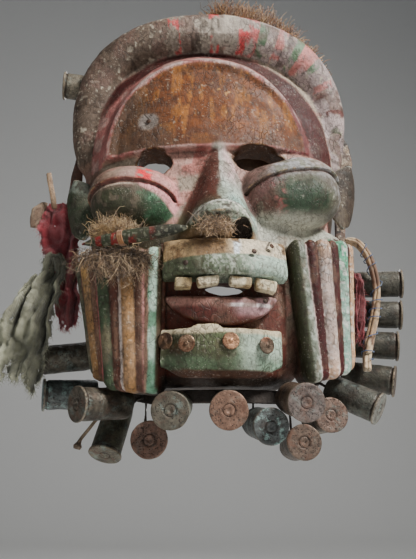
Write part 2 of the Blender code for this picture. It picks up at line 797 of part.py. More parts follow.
def make_cane_lashing():
    """One thread that runs down the cane in an open spiral, with close turns at the lashings."""
    bm = bmesh.new()
    line = cane_line()[3:20]
    turns = [0.0]
    for k in range(1, len(line)):
        turns.append(turns[-1] + (1.0 if k in (3, 4, 8, 9, 10, 15) else 0.35))
    winding(bm, line, 4.5, 0.5, turns, 8, 4)
    return finish_object("cane_lashing", bm, blue_thread())


def make_hanging_lace():
    bm = bmesh.new()
    line = smooth_line([(-80, -32, -104), (-84, -35, -110), (-89, -37, -117), (-91, -38, -123)], 3)
    radii = [1.2] * 7 + [1.6, 3.2, 2.4]
    sweep(bm, line, radii, radii, sides=8)
    return finish_object("hanging_lace", bm, brown_leather())


# ------------------------------------------------------------------ shell cases

def shell_profile(length):
    """Half section of a case: hollow, mouth, body, rim and the ring round the primer."""
    inner = SHELL_BODY_R - SHELL_WALL
    floor = length - SHELL_WEB
    return [(0, floor), (inner, floor), (inner - 0.3, 0), (SHELL_BODY_R - 0.3, 0),
            (SHELL_BODY_R, length - SHELL_RIM_THICK), (SHELL_RIM_R, length - SHELL_RIM_THICK),
            (SHELL_RIM_R, length), (PRIMER_R + 0.5, length), (PRIMER_R + 0.1, length - 0.8),
            (PRIMER_R - 0.2, length - 0.1), (0, length - 0.1)]


def make_shell(name, mouth, direction, length=SHELL_LENGTH):
    """Drawn brass case with its mouth at the object's origin and its base along local +Z."""
    bm = bmesh.new()
    turned(bm, shell_profile(length), 14)
    shell = finish_object(name, bm, shell_brass(), 30.0)
    aim(shell, mouth, direction)
    return shell


def make_beard():
    shells = []
    for name, (mouth, azimuth, elevation) in SHELLS.items():
        shells.append(make_shell(name, mouth, heading(azimuth, elevation)))
    return shells


def build():
    clear_scene()
    make_upper_lip_block()
    make_lower_lip()
    make_chin_block()
    make_teeth()
    make_chin_discs()
    make_nails()
    ears = [make_ear("ear_left", (-100, -45, 45), 26, 13, 1, -28, -14),
            make_ear("ear_right", (102, -46, 61), 29, 13, 1, 30, 14)]
    make_shell("crown_shell", CROWN_SHELL_MOUTH, heading(*CROWN_SHELL_HEADING), CROWN_SHELL_LENGTH)
    make_face(ears)
    make_nose_stick()
    make_stick_thread()
    make_tuft("tuft_upper", (-67, -80, 15), (13, 5, 6), -14, plant_fibre())
    make_tuft("tuft_lower", (-66, -87.5, -8.5), (18, 3, 6), -26, plant_fibre())
    make_crown_fibre()
    make_cloths()
    make_leathers()
    make_brow_lining()
    make_jaw_strap()
    make_cane_hoop()
    make_cane_lashing()
    make_hanging_lace()
    make_beard()


build()
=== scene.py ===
import json
import math

import bmesh
import bpy
import numpy as np
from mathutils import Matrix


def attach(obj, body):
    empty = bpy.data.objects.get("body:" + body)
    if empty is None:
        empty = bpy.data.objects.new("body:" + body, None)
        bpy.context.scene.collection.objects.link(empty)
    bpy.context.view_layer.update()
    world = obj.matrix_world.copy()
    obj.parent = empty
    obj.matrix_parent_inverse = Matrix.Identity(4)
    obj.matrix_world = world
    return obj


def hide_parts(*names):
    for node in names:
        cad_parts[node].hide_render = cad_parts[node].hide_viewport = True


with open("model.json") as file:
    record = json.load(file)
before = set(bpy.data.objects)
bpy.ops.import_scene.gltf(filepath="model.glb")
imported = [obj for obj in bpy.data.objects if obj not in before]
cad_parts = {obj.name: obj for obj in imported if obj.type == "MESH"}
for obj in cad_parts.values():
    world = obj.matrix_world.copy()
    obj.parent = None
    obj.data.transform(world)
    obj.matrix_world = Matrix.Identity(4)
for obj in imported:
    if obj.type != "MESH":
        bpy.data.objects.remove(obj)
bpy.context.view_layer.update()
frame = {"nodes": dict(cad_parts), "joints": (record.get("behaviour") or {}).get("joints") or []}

import openvdb
from mathutils import Vector

MM = 0.001
VOXEL = 0.8      # grain of the carved surface, mm
rng = np.random.default_rng(17)


# ------------------------------------------------------------------ noise

def lattice(i, j, k, seed):
    """Repeatable random value from 0 to 1 for each whole-number point."""
    h = (i.astype(np.uint32) * np.uint32(374761393) + j.astype(np.uint32) * np.uint32(668265263)
         + k.astype(np.uint32) * np.uint32(2246822519) + np.uint32(seed * 40503 + 977))
    h = (h ^ (h >> np.uint32(13))) * np.uint32(1274126177)
    h = (h ^ (h >> np.uint32(15))) * np.uint32(2654435761)
    return ((h ^ (h >> np.uint32(16))) & np.uint32(0xFFFFFF)) / float(0xFFFFFF)


def noise(points, size, seed=0):
    """Smooth noise from 0 to 1, with features of the given size."""
    q = np.asarray(points, float) / np.asarray(size, float)
    cell = np.floor(q)
    f = q - cell
    f = f * f * (3.0 - 2.0 * f)
    cell = cell.astype(np.int64)
    total = np.zeros(len(q))
    for corner in np.ndindex(2, 2, 2):
        weight = np.ones(len(q))
        for axis in range(3):
            weight *= f[:, axis] if corner[axis] else 1.0 - f[:, axis]
        total += weight * lattice(cell[:, 0] + corner[0], cell[:, 1] + corner[1],
                                  cell[:, 2] + corner[2], seed)
    return total


def fractal(points, size, octaves=3, seed=0):
    size = np.asarray(size, float)
    total = 0.0
    for octave in range(octaves):
        total = total + noise(points, size / 2 ** octave, seed + octave) * 0.5 ** (octave + 1)
    return total / (1.0 - 0.5 ** octaves)


def cells(points, size, seed=0):
    """Distance to the nearest of one random point per cell, as a share of the cell."""
    q = np.asarray(points, float) / size
    base = np.floor(q).astype(np.int64)
    best = np.full(len(q), 9.0)
    for shift in np.ndindex(3, 3, 3):
        c = base + np.array(shift) - 1
        spot = [c[:, a] + lattice(c[:, 0], c[:, 1], c[:, 2], seed + 11 * a) for a in range(3)]
        best = np.minimum(best, sum((q[:, a] - spot[a]) ** 2 for a in range(3)))
    return np.sqrt(best)


def ramp(value, low, high):
    """0 below low, 1 above high, smooth in between; low may be the larger."""
    t = np.clip((value - low) / (high - low), 0.0, 1.0)
    return t * t * (3.0 - 2.0 * t)


# ------------------------------------------------------------------ meshes

def mesh_object(name, points, faces, smooth=True):
    """Mesh from points in millimetres."""
    mesh = bpy.data.meshes.new(name)
    points = np.asarray(points, np.float32) * MM
    if isinstance(faces, np.ndarray):
        count, sides = faces.shape
        mesh.vertices.add(len(points))
        mesh.vertices.foreach_set("co", points.ravel())
        mesh.loops.add(count * sides)
        mesh.loops.foreach_set("vertex_index", faces.astype(np.int32).ravel())
        mesh.polygons.add(count)
        mesh.polygons.foreach_set("loop_start", np.arange(0, count * sides, sides, dtype=np.int32))
        mesh.update(calc_edges=True)
    else:
        mesh.from_pydata(points.tolist(), [], faces)
    mesh.validate()
    if smooth:
        mesh.shade_smooth()
    obj = bpy.data.objects.new(name, mesh)
    bpy.context.scene.collection.objects.link(obj)
    return obj


def points_of(obj):
    co = np.zeros(len(obj.data.vertices) * 3, np.float32)
    obj.data.vertices.foreach_get("co", co)
    return co.reshape(-1, 3).astype(float) / MM


def normals_of(obj):
    out = np.zeros(len(obj.data.vertices) * 3, np.float32)
    obj.data.vertex_normals.foreach_get("vector", out)
    return out.reshape(-1, 3).astype(float)


def move_points(obj, points):
    obj.data.vertices.foreach_set("co", (points * MM).astype(np.float32).ravel())
    obj.data.update()


def set_colour(obj, colour, name="paint"):
    """Linear colour for each point, read by the materials."""
    layer = obj.data.attributes.new(name, 'FLOAT_COLOR', 'POINT')
    rgba = np.ones((len(obj.data.vertices), 4), np.float32)
    rgba[:, :3] = np.clip(colour, 0.0, 1.0)
    layer.data.foreach_set("color", rgba.ravel())


def set_value(obj, name, value):
    layer = obj.data.attributes.new(name, 'FLOAT', 'POINT')
    layer.data.foreach_set("value", np.asarray(value, np.float32))


def neighbour_mean(obj, values, rounds):
    """Each point's value averaged with its neighbours' along the edges."""
    edges = np.zeros(len(obj.data.edges) * 2, np.int32)
    obj.data.edges.foreach_get("vertices", edges)
    edges = edges.reshape(-1, 2)
    count = np.bincount(edges.ravel(), minlength=len(values)).astype(float) + 1.0
    for _ in range(rounds):
        total = values.copy()
        for axis in range(values.shape[1]):
            total[:, axis] += np.bincount(edges[:, 0], values[edges[:, 1], axis], len(values))
            total[:, axis] += np.bincount(edges[:, 1], values[edges[:, 0], axis], len(values))
        values = total / count[:, None]
    return values


def edge_curve(obj, rounds=4):
    """Above 0 on ridges and below 0 in grooves, in millimetres."""
    points = points_of(obj)
    return np.einsum("ij,ij->i", points - neighbour_mean(obj, points, rounds), normals_of(obj))


def smooth_line(points, steps):
    """Points along a Catmull-Rom curve through the given ones."""
    pts = [np.array(p, float) for p in points]
    ends = [2 * pts[0] - pts[1]] + pts + [2 * pts[-1] - pts[-2]]
    out = []
    for k in range(len(pts) - 1):
        a, b, c, d = ends[k:k + 4]
        for s in range(steps):
            t = s / steps
            out.append(0.5 * (2 * b + (c - a) * t + (2 * a - 5 * b + 4 * c - d) * t ** 2
                              + (3 * b - a - 3 * c + d) * t ** 3))
    out.append(pts[-1])
    return np.array(out)


def tubes(lines, radii, sides=5):
    """Points and faces of one capped tube for each line; radii give one radius per point."""
    points, faces = [], []
    start = 0
    for line, radius in zip(lines, radii):
        line = np.asarray(line, float)
        ahead = np.gradient(line, axis=0)
        ahead /= np.linalg.norm(ahead, axis=1)[:, None] + 1e-9
        side = np.cross(ahead, (0.31, 0.17, 0.93))
        side /= np.linalg.norm(side, axis=1)[:, None] + 1e-9
        other = np.cross(ahead, side)
        turn = 2 * math.pi * np.arange(sides) / sides
        ring = (line[:, None] + np.asarray(radius)[:, None, None]
                * (np.cos(turn)[None, :, None] * side[:, None]
                   + np.sin(turn)[None, :, None] * other[:, None]))
        points.append(ring.reshape(-1, 3))
        index = start + np.arange(len(line) * sides).reshape(len(line), sides)
        ahead_index = np.roll(index, -1, axis=1)
        quads = np.stack([index[:-1], ahead_index[:-1], ahead_index[1:], index[1:]], axis=-1).reshape(-1, 4)
        faces.extend(quads.tolist())
        faces.append(index[0][::-1].tolist())
        faces.append(index[-1].tolist())
        start += len(line) * sides
    return np.concatenate(points), faces


# ------------------------------------------------------------------ materials

def new_material(name):
    mat = bpy.data.materials.new(name)
    mat.use_nodes = True
    mat.node_tree.nodes.clear()
    out = mat.node_tree.nodes.new("ShaderNodeOutputMaterial")
    shader = mat.node_tree.nodes.new("ShaderNodeBsdfPrincipled")
    mat.node_tree.links.new(shader.outputs[0], out.inputs[0])
    return mat, shader


class Wiring:
    """Short ways to add and join shader nodes."""

    def __init__(self, mat):
        self.tree = mat.node_tree
        self.coords = self.node("ShaderNodeTexCoord").outputs["Object"]

    def node(self, kind, **settings):
        made = self.tree.nodes.new(kind)
        for key, value in settings.items():
            setattr(made, key, value)
        return made

    def link(self, source, target):
        self.tree.links.new(source, target)

    def stretched(self, scale):
        mapping = self.node("ShaderNodeMapping")
        self.link(self.coords, mapping.inputs["Vector"])
        mapping.inputs["Scale"].default_value = scale
        return mapping.outputs[0]

    def noise(self, scale, detail=4.0, rough=0.6, stretch=(1, 1, 1), distortion=0.0):
        made = self.node("ShaderNodeTexNoise")
        self.link(self.stretched(stretch), made.inputs["Vector"])
        made.inputs["Scale"].default_value = scale
        made.inputs["Detail"].default_value = detail
        made.inputs["Roughness"].default_value = rough
        made.inputs["Distortion"].default_value = distortion
        return made.outputs[0]

    def cells(self, scale, feature='F1', stretch=(1, 1, 1)):
        made = self.node("ShaderNodeTexVoronoi", feature=feature)
        self.link(self.stretched(stretch), made.inputs["Vector"])
        made.inputs["Scale"].default_value = scale
        return made.outputs["Distance"]

    def attribute(self, name, output="Color"):
        return self.node("ShaderNodeAttribute", attribute_name=name).outputs[output]

    def span(self, value, low, high, to_low=0.0, to_high=1.0):
        made = self.node("ShaderNodeMapRange")
        self.link(value, made.inputs["Value"])
        made.inputs["From Min"].default_value = low
        made.inputs["From Max"].default_value = high
        made.inputs["To Min"].default_value = to_low
        made.inputs["To Max"].default_value = to_high
        return made.outputs[0]

    def math(self, operation, a, b):
        made = self.node("ShaderNodeMath", operation=operation)
        for socket, value in zip(made.inputs, (a, b)):
            if isinstance(value, (int, float)):
                socket.default_value = value
            else:
                self.link(value, socket)
        return made.outputs[0]

    def mix(self, factor, a, b, blend='MIX'):
        made = self.node("ShaderNodeMix", data_type='RGBA', blend_type=blend)
        for socket, value in ((made.inputs["Factor"], factor), (made.inputs[6], a), (made.inputs[7], b)):
            if isinstance(value, (int, float)):
                socket.default_value = value
            elif isinstance(value, tuple):
                socket.default_value = (*value, 1.0)
            else:
                self.link(value, socket)
        return made.outputs[2]

    def bump(self, height, strength, distance, before=None):
        made = self.node("ShaderNodeBump")
        made.inputs["Strength"].default_value = strength
        made.inputs["Distance"].default_value = distance
        self.link(height, made.inputs["Height"])
        if before is not None:
            self.link(before, made.inputs["Normal"])
        return made.outputs[0]


def painted_wood_material(name="worn_paint"):
    """Old paint over carved wood: the paint attribute, crazing, chips, flecks, grime and grain."""
    mat, shader = new_material(name)
    w = Wiring(mat)
    broad = w.noise(38, 5, 0.6)
    fine = w.noise(520, 5, 0.75)
    shade = w.math('ADD', w.span(broad, 0.3, 0.7, 0.78, 1.10), w.span(fine, 0.3, 0.7, -0.24, 0.26))
    grey = w.node("ShaderNodeCombineColor")
    for socket in grey.inputs:
        w.link(shade, socket)
    colour = w.mix(1.0, w.attribute("paint"), grey.outputs[0], 'MULTIPLY')
    crazing = w.span(w.cells(300, 'DISTANCE_TO_EDGE', (1.0, 1.0, 0.55)), 0.055, 0.0)
    crazing = w.math('MULTIPLY', crazing, w.span(w.noise(30, 3), 0.42, 0.60, 0.10, 0.75))
    colour = w.mix(crazing, colour, (0.030, 0.020, 0.014))
    flecks = w.math('MULTIPLY', w.span(w.cells(760), 0.20, 0.10), w.span(w.noise(70, 3), 0.48, 0.60))
    colour = w.mix(w.math('MULTIPLY', flecks, 0.65), colour, (0.52, 0.49, 0.42))
    pits = w.math('MULTIPLY', w.span(w.cells(480), 0.17, 0.07), w.span(w.noise(52, 3), 0.44, 0.58))
    colour = w.mix(pits, colour, (0.030, 0.019, 0.012))
    grime = w.span(w.noise(85, 7, 0.75), 0.50, 0.72, 0.0, 0.62)
    colour = w.mix(grime, colour, (0.075, 0.052, 0.036))
    w.link(colour, shader.inputs["Base Color"])
    gloss = w.attribute("gloss", "Fac")
    w.link(w.math('ADD', w.math('MULTIPLY', gloss, -0.30), w.span(fine, 0.3, 0.7, 0.60, 0.82)),
           shader.inputs["Roughness"])
    shader.inputs["Specular IOR Level"].default_value = 0.35
    grain = w.noise(230, 3, 0.55, (1.0, 1.0, 0.12), 0.6)
    height = w.math('ADD', w.math('MULTIPLY', grain, 0.5), w.math('MULTIPLY', fine, 0.7))
    first = w.bump(height, 0.75, 0.0008)
    relief = w.math('SUBTRACT', flecks, w.math('ADD', pits, crazing))
    w.link(w.bump(relief, 0.65, 0.0006, first), shader.inputs["Normal"])
    return mat


# ------------------------------------------------------------------ solid carving by distance fields

def soft_min(a, b, blend):
    if blend <= 0:
        return np.minimum(a, b)
    h = np.maximum(blend - np.abs(a - b), 0.0) / blend
    return np.minimum(a, b) - h * h * blend * 0.25


def soft_max(a, b, blend):
    return -soft_min(-a, -b, blend)


class Carving:
    """A block of distances to a surface, in millimetres: below 0 is wood."""

    def __init__(self, low, high, step):
        self.low = np.array(low, float)
        self.step = step
        self.axes = [np.arange(low[a], high[a] + step, step, dtype=np.float32) for a in range(3)]
        self.field = np.full([len(axis) for axis in self.axes], 40.0, np.float32)

    def region(self, low, high):
        slices = tuple(slice(max(0, int(np.searchsorted(axis, lo))), int(np.searchsorted(axis, hi)) + 1)
                       for axis, lo, hi in zip(self.axes, low, high))
        grids = [axis[s] for axis, s in zip(self.axes, slices)]
        x = grids[0][:, None, None]
        y = grids[1][None, :, None]
        z = grids[2][None, None, :]
        return slices, x, y, z

    def add(self, shape, low, high, blend=0.0):
        slices, x, y, z = self.region(low, high)
        self.field[slices] = soft_min(self.field[slices], shape(x, y, z), blend)

    def cut(self, shape, low, high, blend=0.0):
        slices, x, y, z = self.region(low, high)
        self.field[slices] = soft_max(self.field[slices], -shape(x, y, z), blend)

    def mesh(self, name):
        grid = openvdb.FloatGrid(4.0)
        grid.transform = openvdb.createLinearTransform(voxelSize=self.step)
        grid.copyFromArray(np.clip(self.field, -4.0, 4.0))
        points, quads = grid.convertToQuads(isovalue=0.0)
        obj = mesh_object(name, points + self.low, quads.astype(np.int64))
        return obj


def ellipsoid(centre, radii):
    def shape(x, y, z):
        u, v, w = (x - centre[0]) / radii[0], (y - centre[1]) / radii[1], (z - centre[2]) / radii[2]
        near = np.sqrt(u * u + v * v + w * w) + 1e-6
        steep = np.sqrt((u / radii[0]) ** 2 + (v / radii[1]) ** 2 + (w / radii[2]) ** 2) + 1e-6
        return near * (near - 1.0) / steep
    return shape


def slab(low, high):
    """Box with sharp edges."""
    def shape(x, y, z):
        sides = [np.maximum(lo - c, c - hi) for c, lo, hi in zip((x, y, z), low, high)]
        return np.maximum(np.maximum(sides[0], sides[1]), sides[2])
    return shape


def bar(a, b, ra, rb):
    """Rounded bar from a to b, with a radius at each end."""
    a, b = np.array(a, float), np.array(b, float)
    along = b - a
    square = float(along @ along)

    def shape(x, y, z):
        t = np.clip(((x - a[0]) * along[0] + (y - a[1]) * along[1] + (z - a[2]) * along[2]) / square, 0, 1)
        dx, dy, dz = x - a[0] - t * along[0], y - a[1] - t * along[1], z - a[2] - t * along[2]
        return np.sqrt(dx * dx + dy * dy + dz * dz) - (ra + (rb - ra) * t)
    return shape


def add_bars(carving, line, radii, blend, cut=False, reach=14.0):
    """Swept round bar along a line. Its stretches are joined first, then blended in."""
    low, high = line.min(0) - reach, line.max(0) + reach
    slices = carving.region(low, high)[0]
    swept = np.full(carving.field[slices].shape, 40.0, np.float32)
    local = Carving.__new__(Carving)
    local.axes = [axis[s] for axis, s in zip(carving.axes, slices)]
    local.field = swept
    for k in range(len(line) - 1):
        r = max(radii[k], radii[k + 1]) + reach
        a, b = line[k], line[k + 1]
        local.add(bar(a, b, radii[k], radii[k + 1]), np.minimum(a, b) - r, np.maximum(a, b) + r)
    if cut:
        carving.field[slices] = soft_max(carving.field[slices], -local.field, blend)
    else:
        carving.field[slices] = soft_min(carving.field[slices], local.field, blend)


# ------------------------------------------------------------------ the face: driving sizes, as in the frame

HEAD_SECTIONS = [(-84, 48, 72), (-80, 56, 76), (-70, 66, 78), (-58, 74, 78), (-40, 81, 78),
                 (0, 90, 78), (30, 95, 76), (70, 101, 72), (100, 104, 66), (130, 101, 61),
                 (155, 92, 57), (175, 76, 52), (190, 52, 46), (200, 20, 40)]
ROLL_LINE = [(-97, -21, 96), (-99, -23, 116), (-97, -26, 140), (-89, -32, 164), (-72, -39, 182),
             (-46, -46, 193), (-16, -50, 197), (14, -50, 198), (44, -46, 194), (70, -39, 184),
             (86, -32, 168), (95, -26, 146), (97, -22, 120), (96, -20, 98)]
NOSE_SECTIONS = [(84, 8, 74), (66, 11, 82), (44, 16, 94), (28, 21, 104), (20, 24, 108), (9, 25, 95)]
# the forehead panel seen from above: its middle, half width, depth and roundness
PANEL_MIDDLE, PANEL_HALF_WIDTH, PANEL_DEPTH, PANEL_POWER = -6.0, 99.0, 77.0, 2.4
NOSTRIL = (15.0, -94.0, 11.5)
RECESS = ((-37.0, -140.0, -110.0), (43.5, -78.0, 8.5))
EYE_LEFT = {"centre": (-58.0, -62.0, 40.0), "radii": (30.0, 25.0, 21.0), "tilt": -3.0,
            "top": 24.5, "lid": (0.50, -0.10), "square": (2.0, 2.0)}
EYE_RIGHT = {"centre": (53.0, -62.0, 47.0), "radii": (36.0, 27.0, 23.5), "tilt": 9.0,
             "top": 28.0, "lid": (0.55, -0.05), "square": (2.0, 4.0)}
CHEEKS = {
    "left": {"upper": ((-42, -87), (-100, -40)), "lower": ((-41, -79), (-84, -36)), "count": 9,
             "top": (4, 4), "bottom": (-89, -74), "radius": 5.0, "fall": 2.6, "roll": 1.45},
    "right": {"upper": ((52, -87), (102, -42)), "lower": ((62, -77), (97, -40)), "count": 8,
              "top": (11, 20), "bottom": (-82, -70), "radius": 4.6, "fall": 1.2, "roll": 1.30}}


# where two cases come to rest when they swing in under the left cheek: axis ends and radius
SWING_ROOM = [((-62.0, -45.6, -93.1), (-84.5, -64.2, -87.0), 11.4),
              ((-26.4, -60.0, -95.4), (-29.7, -90.0, -91.3), 11.2)]


def section_at(z, column):
    """Half width (1) or depth (2) of the head at height z, eased between the given sections."""
    table = np.array(HEAD_SECTIONS, float)
    fine = np.arange(-100.0, 216.0, 1.0)
    values = np.interp(fine, table[:, 0], table[:, column])
    kernel = np.exp(-np.linspace(-2, 2, 13) ** 2)
    values = np.convolve(np.pad(values, 6, mode='edge'), kernel / kernel.sum(), 'valid')
    return np.interp(z, fine, values)


def head_shape(shrink_side, shrink_front, power, low, high):
    """Superellipse tube that follows the head sections between two heights."""
    def shape(x, y, z):
        a = section_at(z, 1) - shrink_side
        d = section_at(z, 2) - shrink_front
        gx = np.abs(x / a) ** power
        gy = np.abs(np.minimum(y, 0.0) / d) ** power
        g = (gx + gy) ** (1.0 / power) + 1e-5
        steep = np.sqrt((np.abs(x / a) ** (power - 1) / a) ** 2
                        + (np.abs(np.minimum(y, 0) / d) ** (power - 1) / d) ** 2)
        wall = (g - 1.0) / np.maximum(steep * g ** (1.0 - power), 0.004)
        return soft_max(soft_max(wall, low - z, 8.0), z - high, 14.0)
    return shape


def panel_edge(x):
    """Height of the forehead panel's lower edge, which drops to one side."""
    return 82.0 + 0.070 * x


def panel_shape(x, y, z):
    """Half dome of the forehead with a flat lower edge."""
    outline = (np.sqrt(((x + 5.0) / 75.0) ** 2 + (np.maximum(z - 86.0, 0.0) / 70.0) ** 2) - 1.0) * 70.0
    bow = (np.abs((x - PANEL_MIDDLE) / PANEL_HALF_WIDTH) ** PANEL_POWER
           + np.abs(np.minimum(y, 0) / PANEL_DEPTH) ** PANEL_POWER)
    front = (bow ** (1 / PANEL_POWER) - 1.0) * PANEL_DEPTH
    front = front + 0.07 * (z - 86.0) - 2.4 * ramp(outline, -9.0, -2.0) + 0.95 * np.maximum(outline, 0.0)
    return soft_max(soft_max(outline - 17.0, front, 3.0), panel_edge(x) - z, 2.5)


def nose_shape(x, y, z):
    table = np.array(sorted(NOSE_SECTIONS), float)
    half = np.interp(z, table[:, 0], table[:, 1])
    front = np.interp(z, table[:, 0], table[:, 2])
    shoulder = 66.0 + 0.45 * (front - 66.0)
    top = 0.40 * half
    u = np.abs(x - 1.0)
    v = -y
    run, rise = half - top, front - shoulder
    length = np.sqrt(run * run + rise * rise)
    slope = ((u - half) * rise + (v - shoulder) * run) / length
    body = soft_max(soft_max(u - half, slope, 5.0), v - front, 7.0)
    return soft_max(soft_max(body, 8.5 - z, 3.0), z - 88.0, 8.0)


def eye_local(eye, x, z):
    tilt = math.radians(eye["tilt"])
    dx, dz = x - eye["centre"][0], z - eye["centre"][2]
    return dx * math.cos(tilt) + dz * math.sin(tilt), -dx * math.sin(tilt) + dz * math.cos(tilt)


def lid_height(eye, u):
    """Height of the lid's lower edge above the eye's middle, at u from -1 to 1 across it."""
    rise, base = eye["lid"]
    power = np.where(np.asarray(u) < 0, eye["square"][0], eye["square"][1])
    return eye["radii"][2] * (base + rise * np.maximum(1.0 - np.abs(u) ** power, 0.0) ** (1.0 / power))


def eye_shape(eye, grow, above_lid):
    rx, ry, rz = eye["radii"]

    def shape(x, y, z):
        lx, lz = eye_local(eye, x, z)
        ly = y - eye["centre"][1]
        a, b = rx + grow, ry + grow
        c = np.where(lz > 0, eye["top"], rz) + grow
        power = 2.35
        g = np.abs(lx / a) ** power + np.abs(ly / b) ** power + np.abs(lz / c) ** power
        g = g ** (1 / power) + 1e-5
        ball = (g - 1.0) * b
        if above_lid:
            return soft_max(ball, lid_height(eye, lx / a) - lz, 1.0)
        return ball
    return shape


def lid_line(eye, grow):
    """The groove under the upper lid, as points on the eye's surface."""
    rx, ry, rz = eye["radii"]
    line = []
    for u in np.linspace(-0.97, 0.97, 30):
        lz = float(lid_height(eye, u))
        left = 1.0 - abs(u) ** 2.35 - abs(lz / (eye["top"] if lz > 0 else rz)) ** 2.35
        ly = -ry * max(left, 0.02) ** (1 / 2.35) - grow
        tilt = math.radians(eye["tilt"])
        lx = u * rx
        line.append((eye["centre"][0] + lx * math.cos(tilt) - lz * math.sin(tilt), eye["centre"][1] + ly,
                     eye["centre"][2] + lx * math.sin(tilt) + lz * math.cos(tilt)))
    return np.array(line)


def cheek_plan(inner, outer, share):
    """Plan of a cheek block: from the proud inner edge round to the side of the face."""
    angle = math.radians(90.0 * share)
    return np.array([inner[0] + (outer[0] - inner[0]) * math.sin(angle),
                     outer[1] + (inner[1] - outer[1]) * math.cos(angle) ** 0.9, 0.0])


def flutes(cheek):
    """Top, bottom, outward direction and radius of each bar of a cheek, from the inner one."""
    out = []
    for k in range(cheek["count"]):
        share = 0.92 * k / (cheek["count"] - 1)
        high = cheek_plan(*cheek["upper"], share)
        low = cheek_plan(*cheek["lower"], share)
        along = cheek_plan(*cheek["upper"], share + 0.02) - high
        normal = np.array([along[1], -along[0], 0.0]) / np.linalg.norm(along)
        if normal[1] > 0:
            normal = -normal
        high[2] = cheek["top"][0] + (cheek["top"][1] - cheek["top"][0]) * share
        low[2] = cheek["bottom"][0] + (cheek["bottom"][1] - cheek["bottom"][0]) * share ** cheek["fall"]
        sunk = 1.7 if k % 2 else 0.0
        wide = 1.18 if k % 2 == 0 else 0.9
        if k == 0:
            wide = cheek["roll"]
        out.append((high - normal * sunk, low - normal * sunk, normal, cheek["radius"] * wide))
    return out


def flute_shape(top, bottom, out, radius):
    """Half-round bar that runs back into the head, rounded over at both ends."""
    across = np.array([-out[1], out[0], 0.0])

    def shape(x, y, z):
        t = np.clip((z - top[2]) / (bottom[2] - top[2]), 0.0, 1.0)
        dx = x - (top[0] + (bottom[0] - top[0]) * t) + out[0] * radius
        dy = y - (top[1] + (bottom[1] - top[1]) * t) + out[1] * radius
        u = dx * across[0] + dy * across[1]
        v = dx * out[0] + dy * out[1]
        body = np.sqrt(u * u + np.maximum(v, 0.0) ** 2) - radius
        body = np.maximum(body, -v - 27.0)
        return soft_max(soft_max(body, z - top[2], 7.0), bottom[2] - z, 7.0)
    return shape


def oval_hole(centre, half_width, half_height, front, back, wobble, seed):
    """Hole cut with a knife: an oval tube with an uneven edge."""
    def shape(x, y, z):
        u, v = (x - centre[0]) / half_width, (z - centre[1]) / half_height
        angle = np.arctan2(v, u)
        edge = 1.0 + wobble * (np.sin(3 * angle + seed) + 0.6 * np.sin(7 * angle + 2 * seed)
                               + 0.35 * np.sin(13 * angle + seed))
        side = (np.sqrt(u * u + v * v) - edge) * half_height
        return np.maximum(side + 0 * y, np.maximum(front - y, y - back))
    return shape


def carve_face():
    """The whole carving as one field, then as a mesh."""
    face = Carving((-120, -116, -96), (120, 5, 222), VOXEL)
    face.add(head_shape(0, 0, 2.6, -84.0, 201.0), (-114, -90, -94), (114, 5, 210))
    roll = smooth_line(ROLL_LINE, 4)
    ends = np.minimum(np.arange(len(roll)), np.arange(len(roll))[::-1]) / 4.0
    add_bars(face, roll, 16.0 * np.minimum(1.0, 0.72 + 0.14 * ends), 5.0)
    face.add(panel_shape, (-100, -90, 66), (92, -30, 186), 2.0)
    face.add(nose_shape, (-36, -114, 2), (38, -50, 92), 8.0)
    for eye in (EYE_LEFT, EYE_RIGHT):
        low = np.array(eye["centre"]) - 46
        high = np.array(eye["centre"]) + 46
        face.add(eye_shape(eye, 0.0, False), low, high, 4.0)
        face.add(eye_shape(eye, 2.4, True), low, high, 1.2)
        add_bars(face, lid_line(eye, 1.3), np.full(30, 1.15), 0.8, cut=True, reach=5.0)
    for middle, side, top, bottom in ((-71, -1, 2, -66), (77, 1, 10, -62)):
        face.add(bar((middle, -50, top), (middle - 4 * side, -48, bottom), 18, 13),
                 (middle - 40, -84, bottom - 26), (middle + 40, -10, top + 30), 6.0)
    for cheek in CHEEKS.values():
        for top, bottom, out, radius in flutes(cheek):
            low = np.minimum(top, bottom) - (34, 14, 4)
            high = np.maximum(top, bottom) + (34, 36, 4)
            face.add(flute_shape(top, bottom, out, radius), low, high, 0.8)
    face.cut(slab(*RECESS), (-50, -116, -96), (56, -60, 22), 1.2)
    face.cut(head_shape(13, 15, 2.4, -70.0, 190.0), (-104, -76, -76), (104, 5, 196), 2.0)
    face.cut(oval_hole((-45, 71), 12.5, 9.5, -112, -28, 0.04, 1.0), (-62, -114, 56), (-28, -26, 88), 0.8)
    face.cut(oval_hole((31, 76), 19.5, 10.0, -112, -28, 0.05, 2.2), (6, -114, 60), (56, -26, 94), 0.8)
    face.cut(oval_hole((4, -22), 14.0, 4.5, -90, -30, 0.04, 0.4), (-16, -92, -32), (24, -28, -12), 0.8)
    face.cut(ellipsoid(NOSTRIL, (8.0, 14, 7.5)), (2, -116, 0), (28, -76, 26), 1.0)
    face.cut(ellipsoid((-4, -104, 15), (9, 6, 4.5)), (-18, -116, 6), (10, -94, 24), 2.0)
    for a, b, radius in SWING_ROOM:
        low = np.minimum(a, b) - radius - 3
        high = np.maximum(a, b) + radius + 3
        face.cut(bar(a, b, radius, radius), low, high, 1.0)
    face.cut(slab((-140, 0, -110), (140, 30, 240)), (-120, -6, -96), (120, 5, 222))
    return face.mesh("mask_face")


def carve_texture(face):
    """Chisel facets, gouges inside, dents and fine unevenness."""
    points = points_of(face)
    normals = normals_of(face)
    inside = ramp(normals[:, 1], 0.1, 0.5) * ramp(points[:, 1], -72, -55)
    push = 0.5 * (noise(points, 9.0, 3) - 0.5) + 0.35 * (noise(points, 3.4, 4) - 0.5)
    push += inside * 1.6 * (0.5 - cells(points, 13.0, 5))
    rim = ramp(points[:, 1], -1.2, -0.2)
    push *= 1.0 - rim
    move_points(face, points + normals * push[:, None])


# ------------------------------------------------------------------ colours of the face

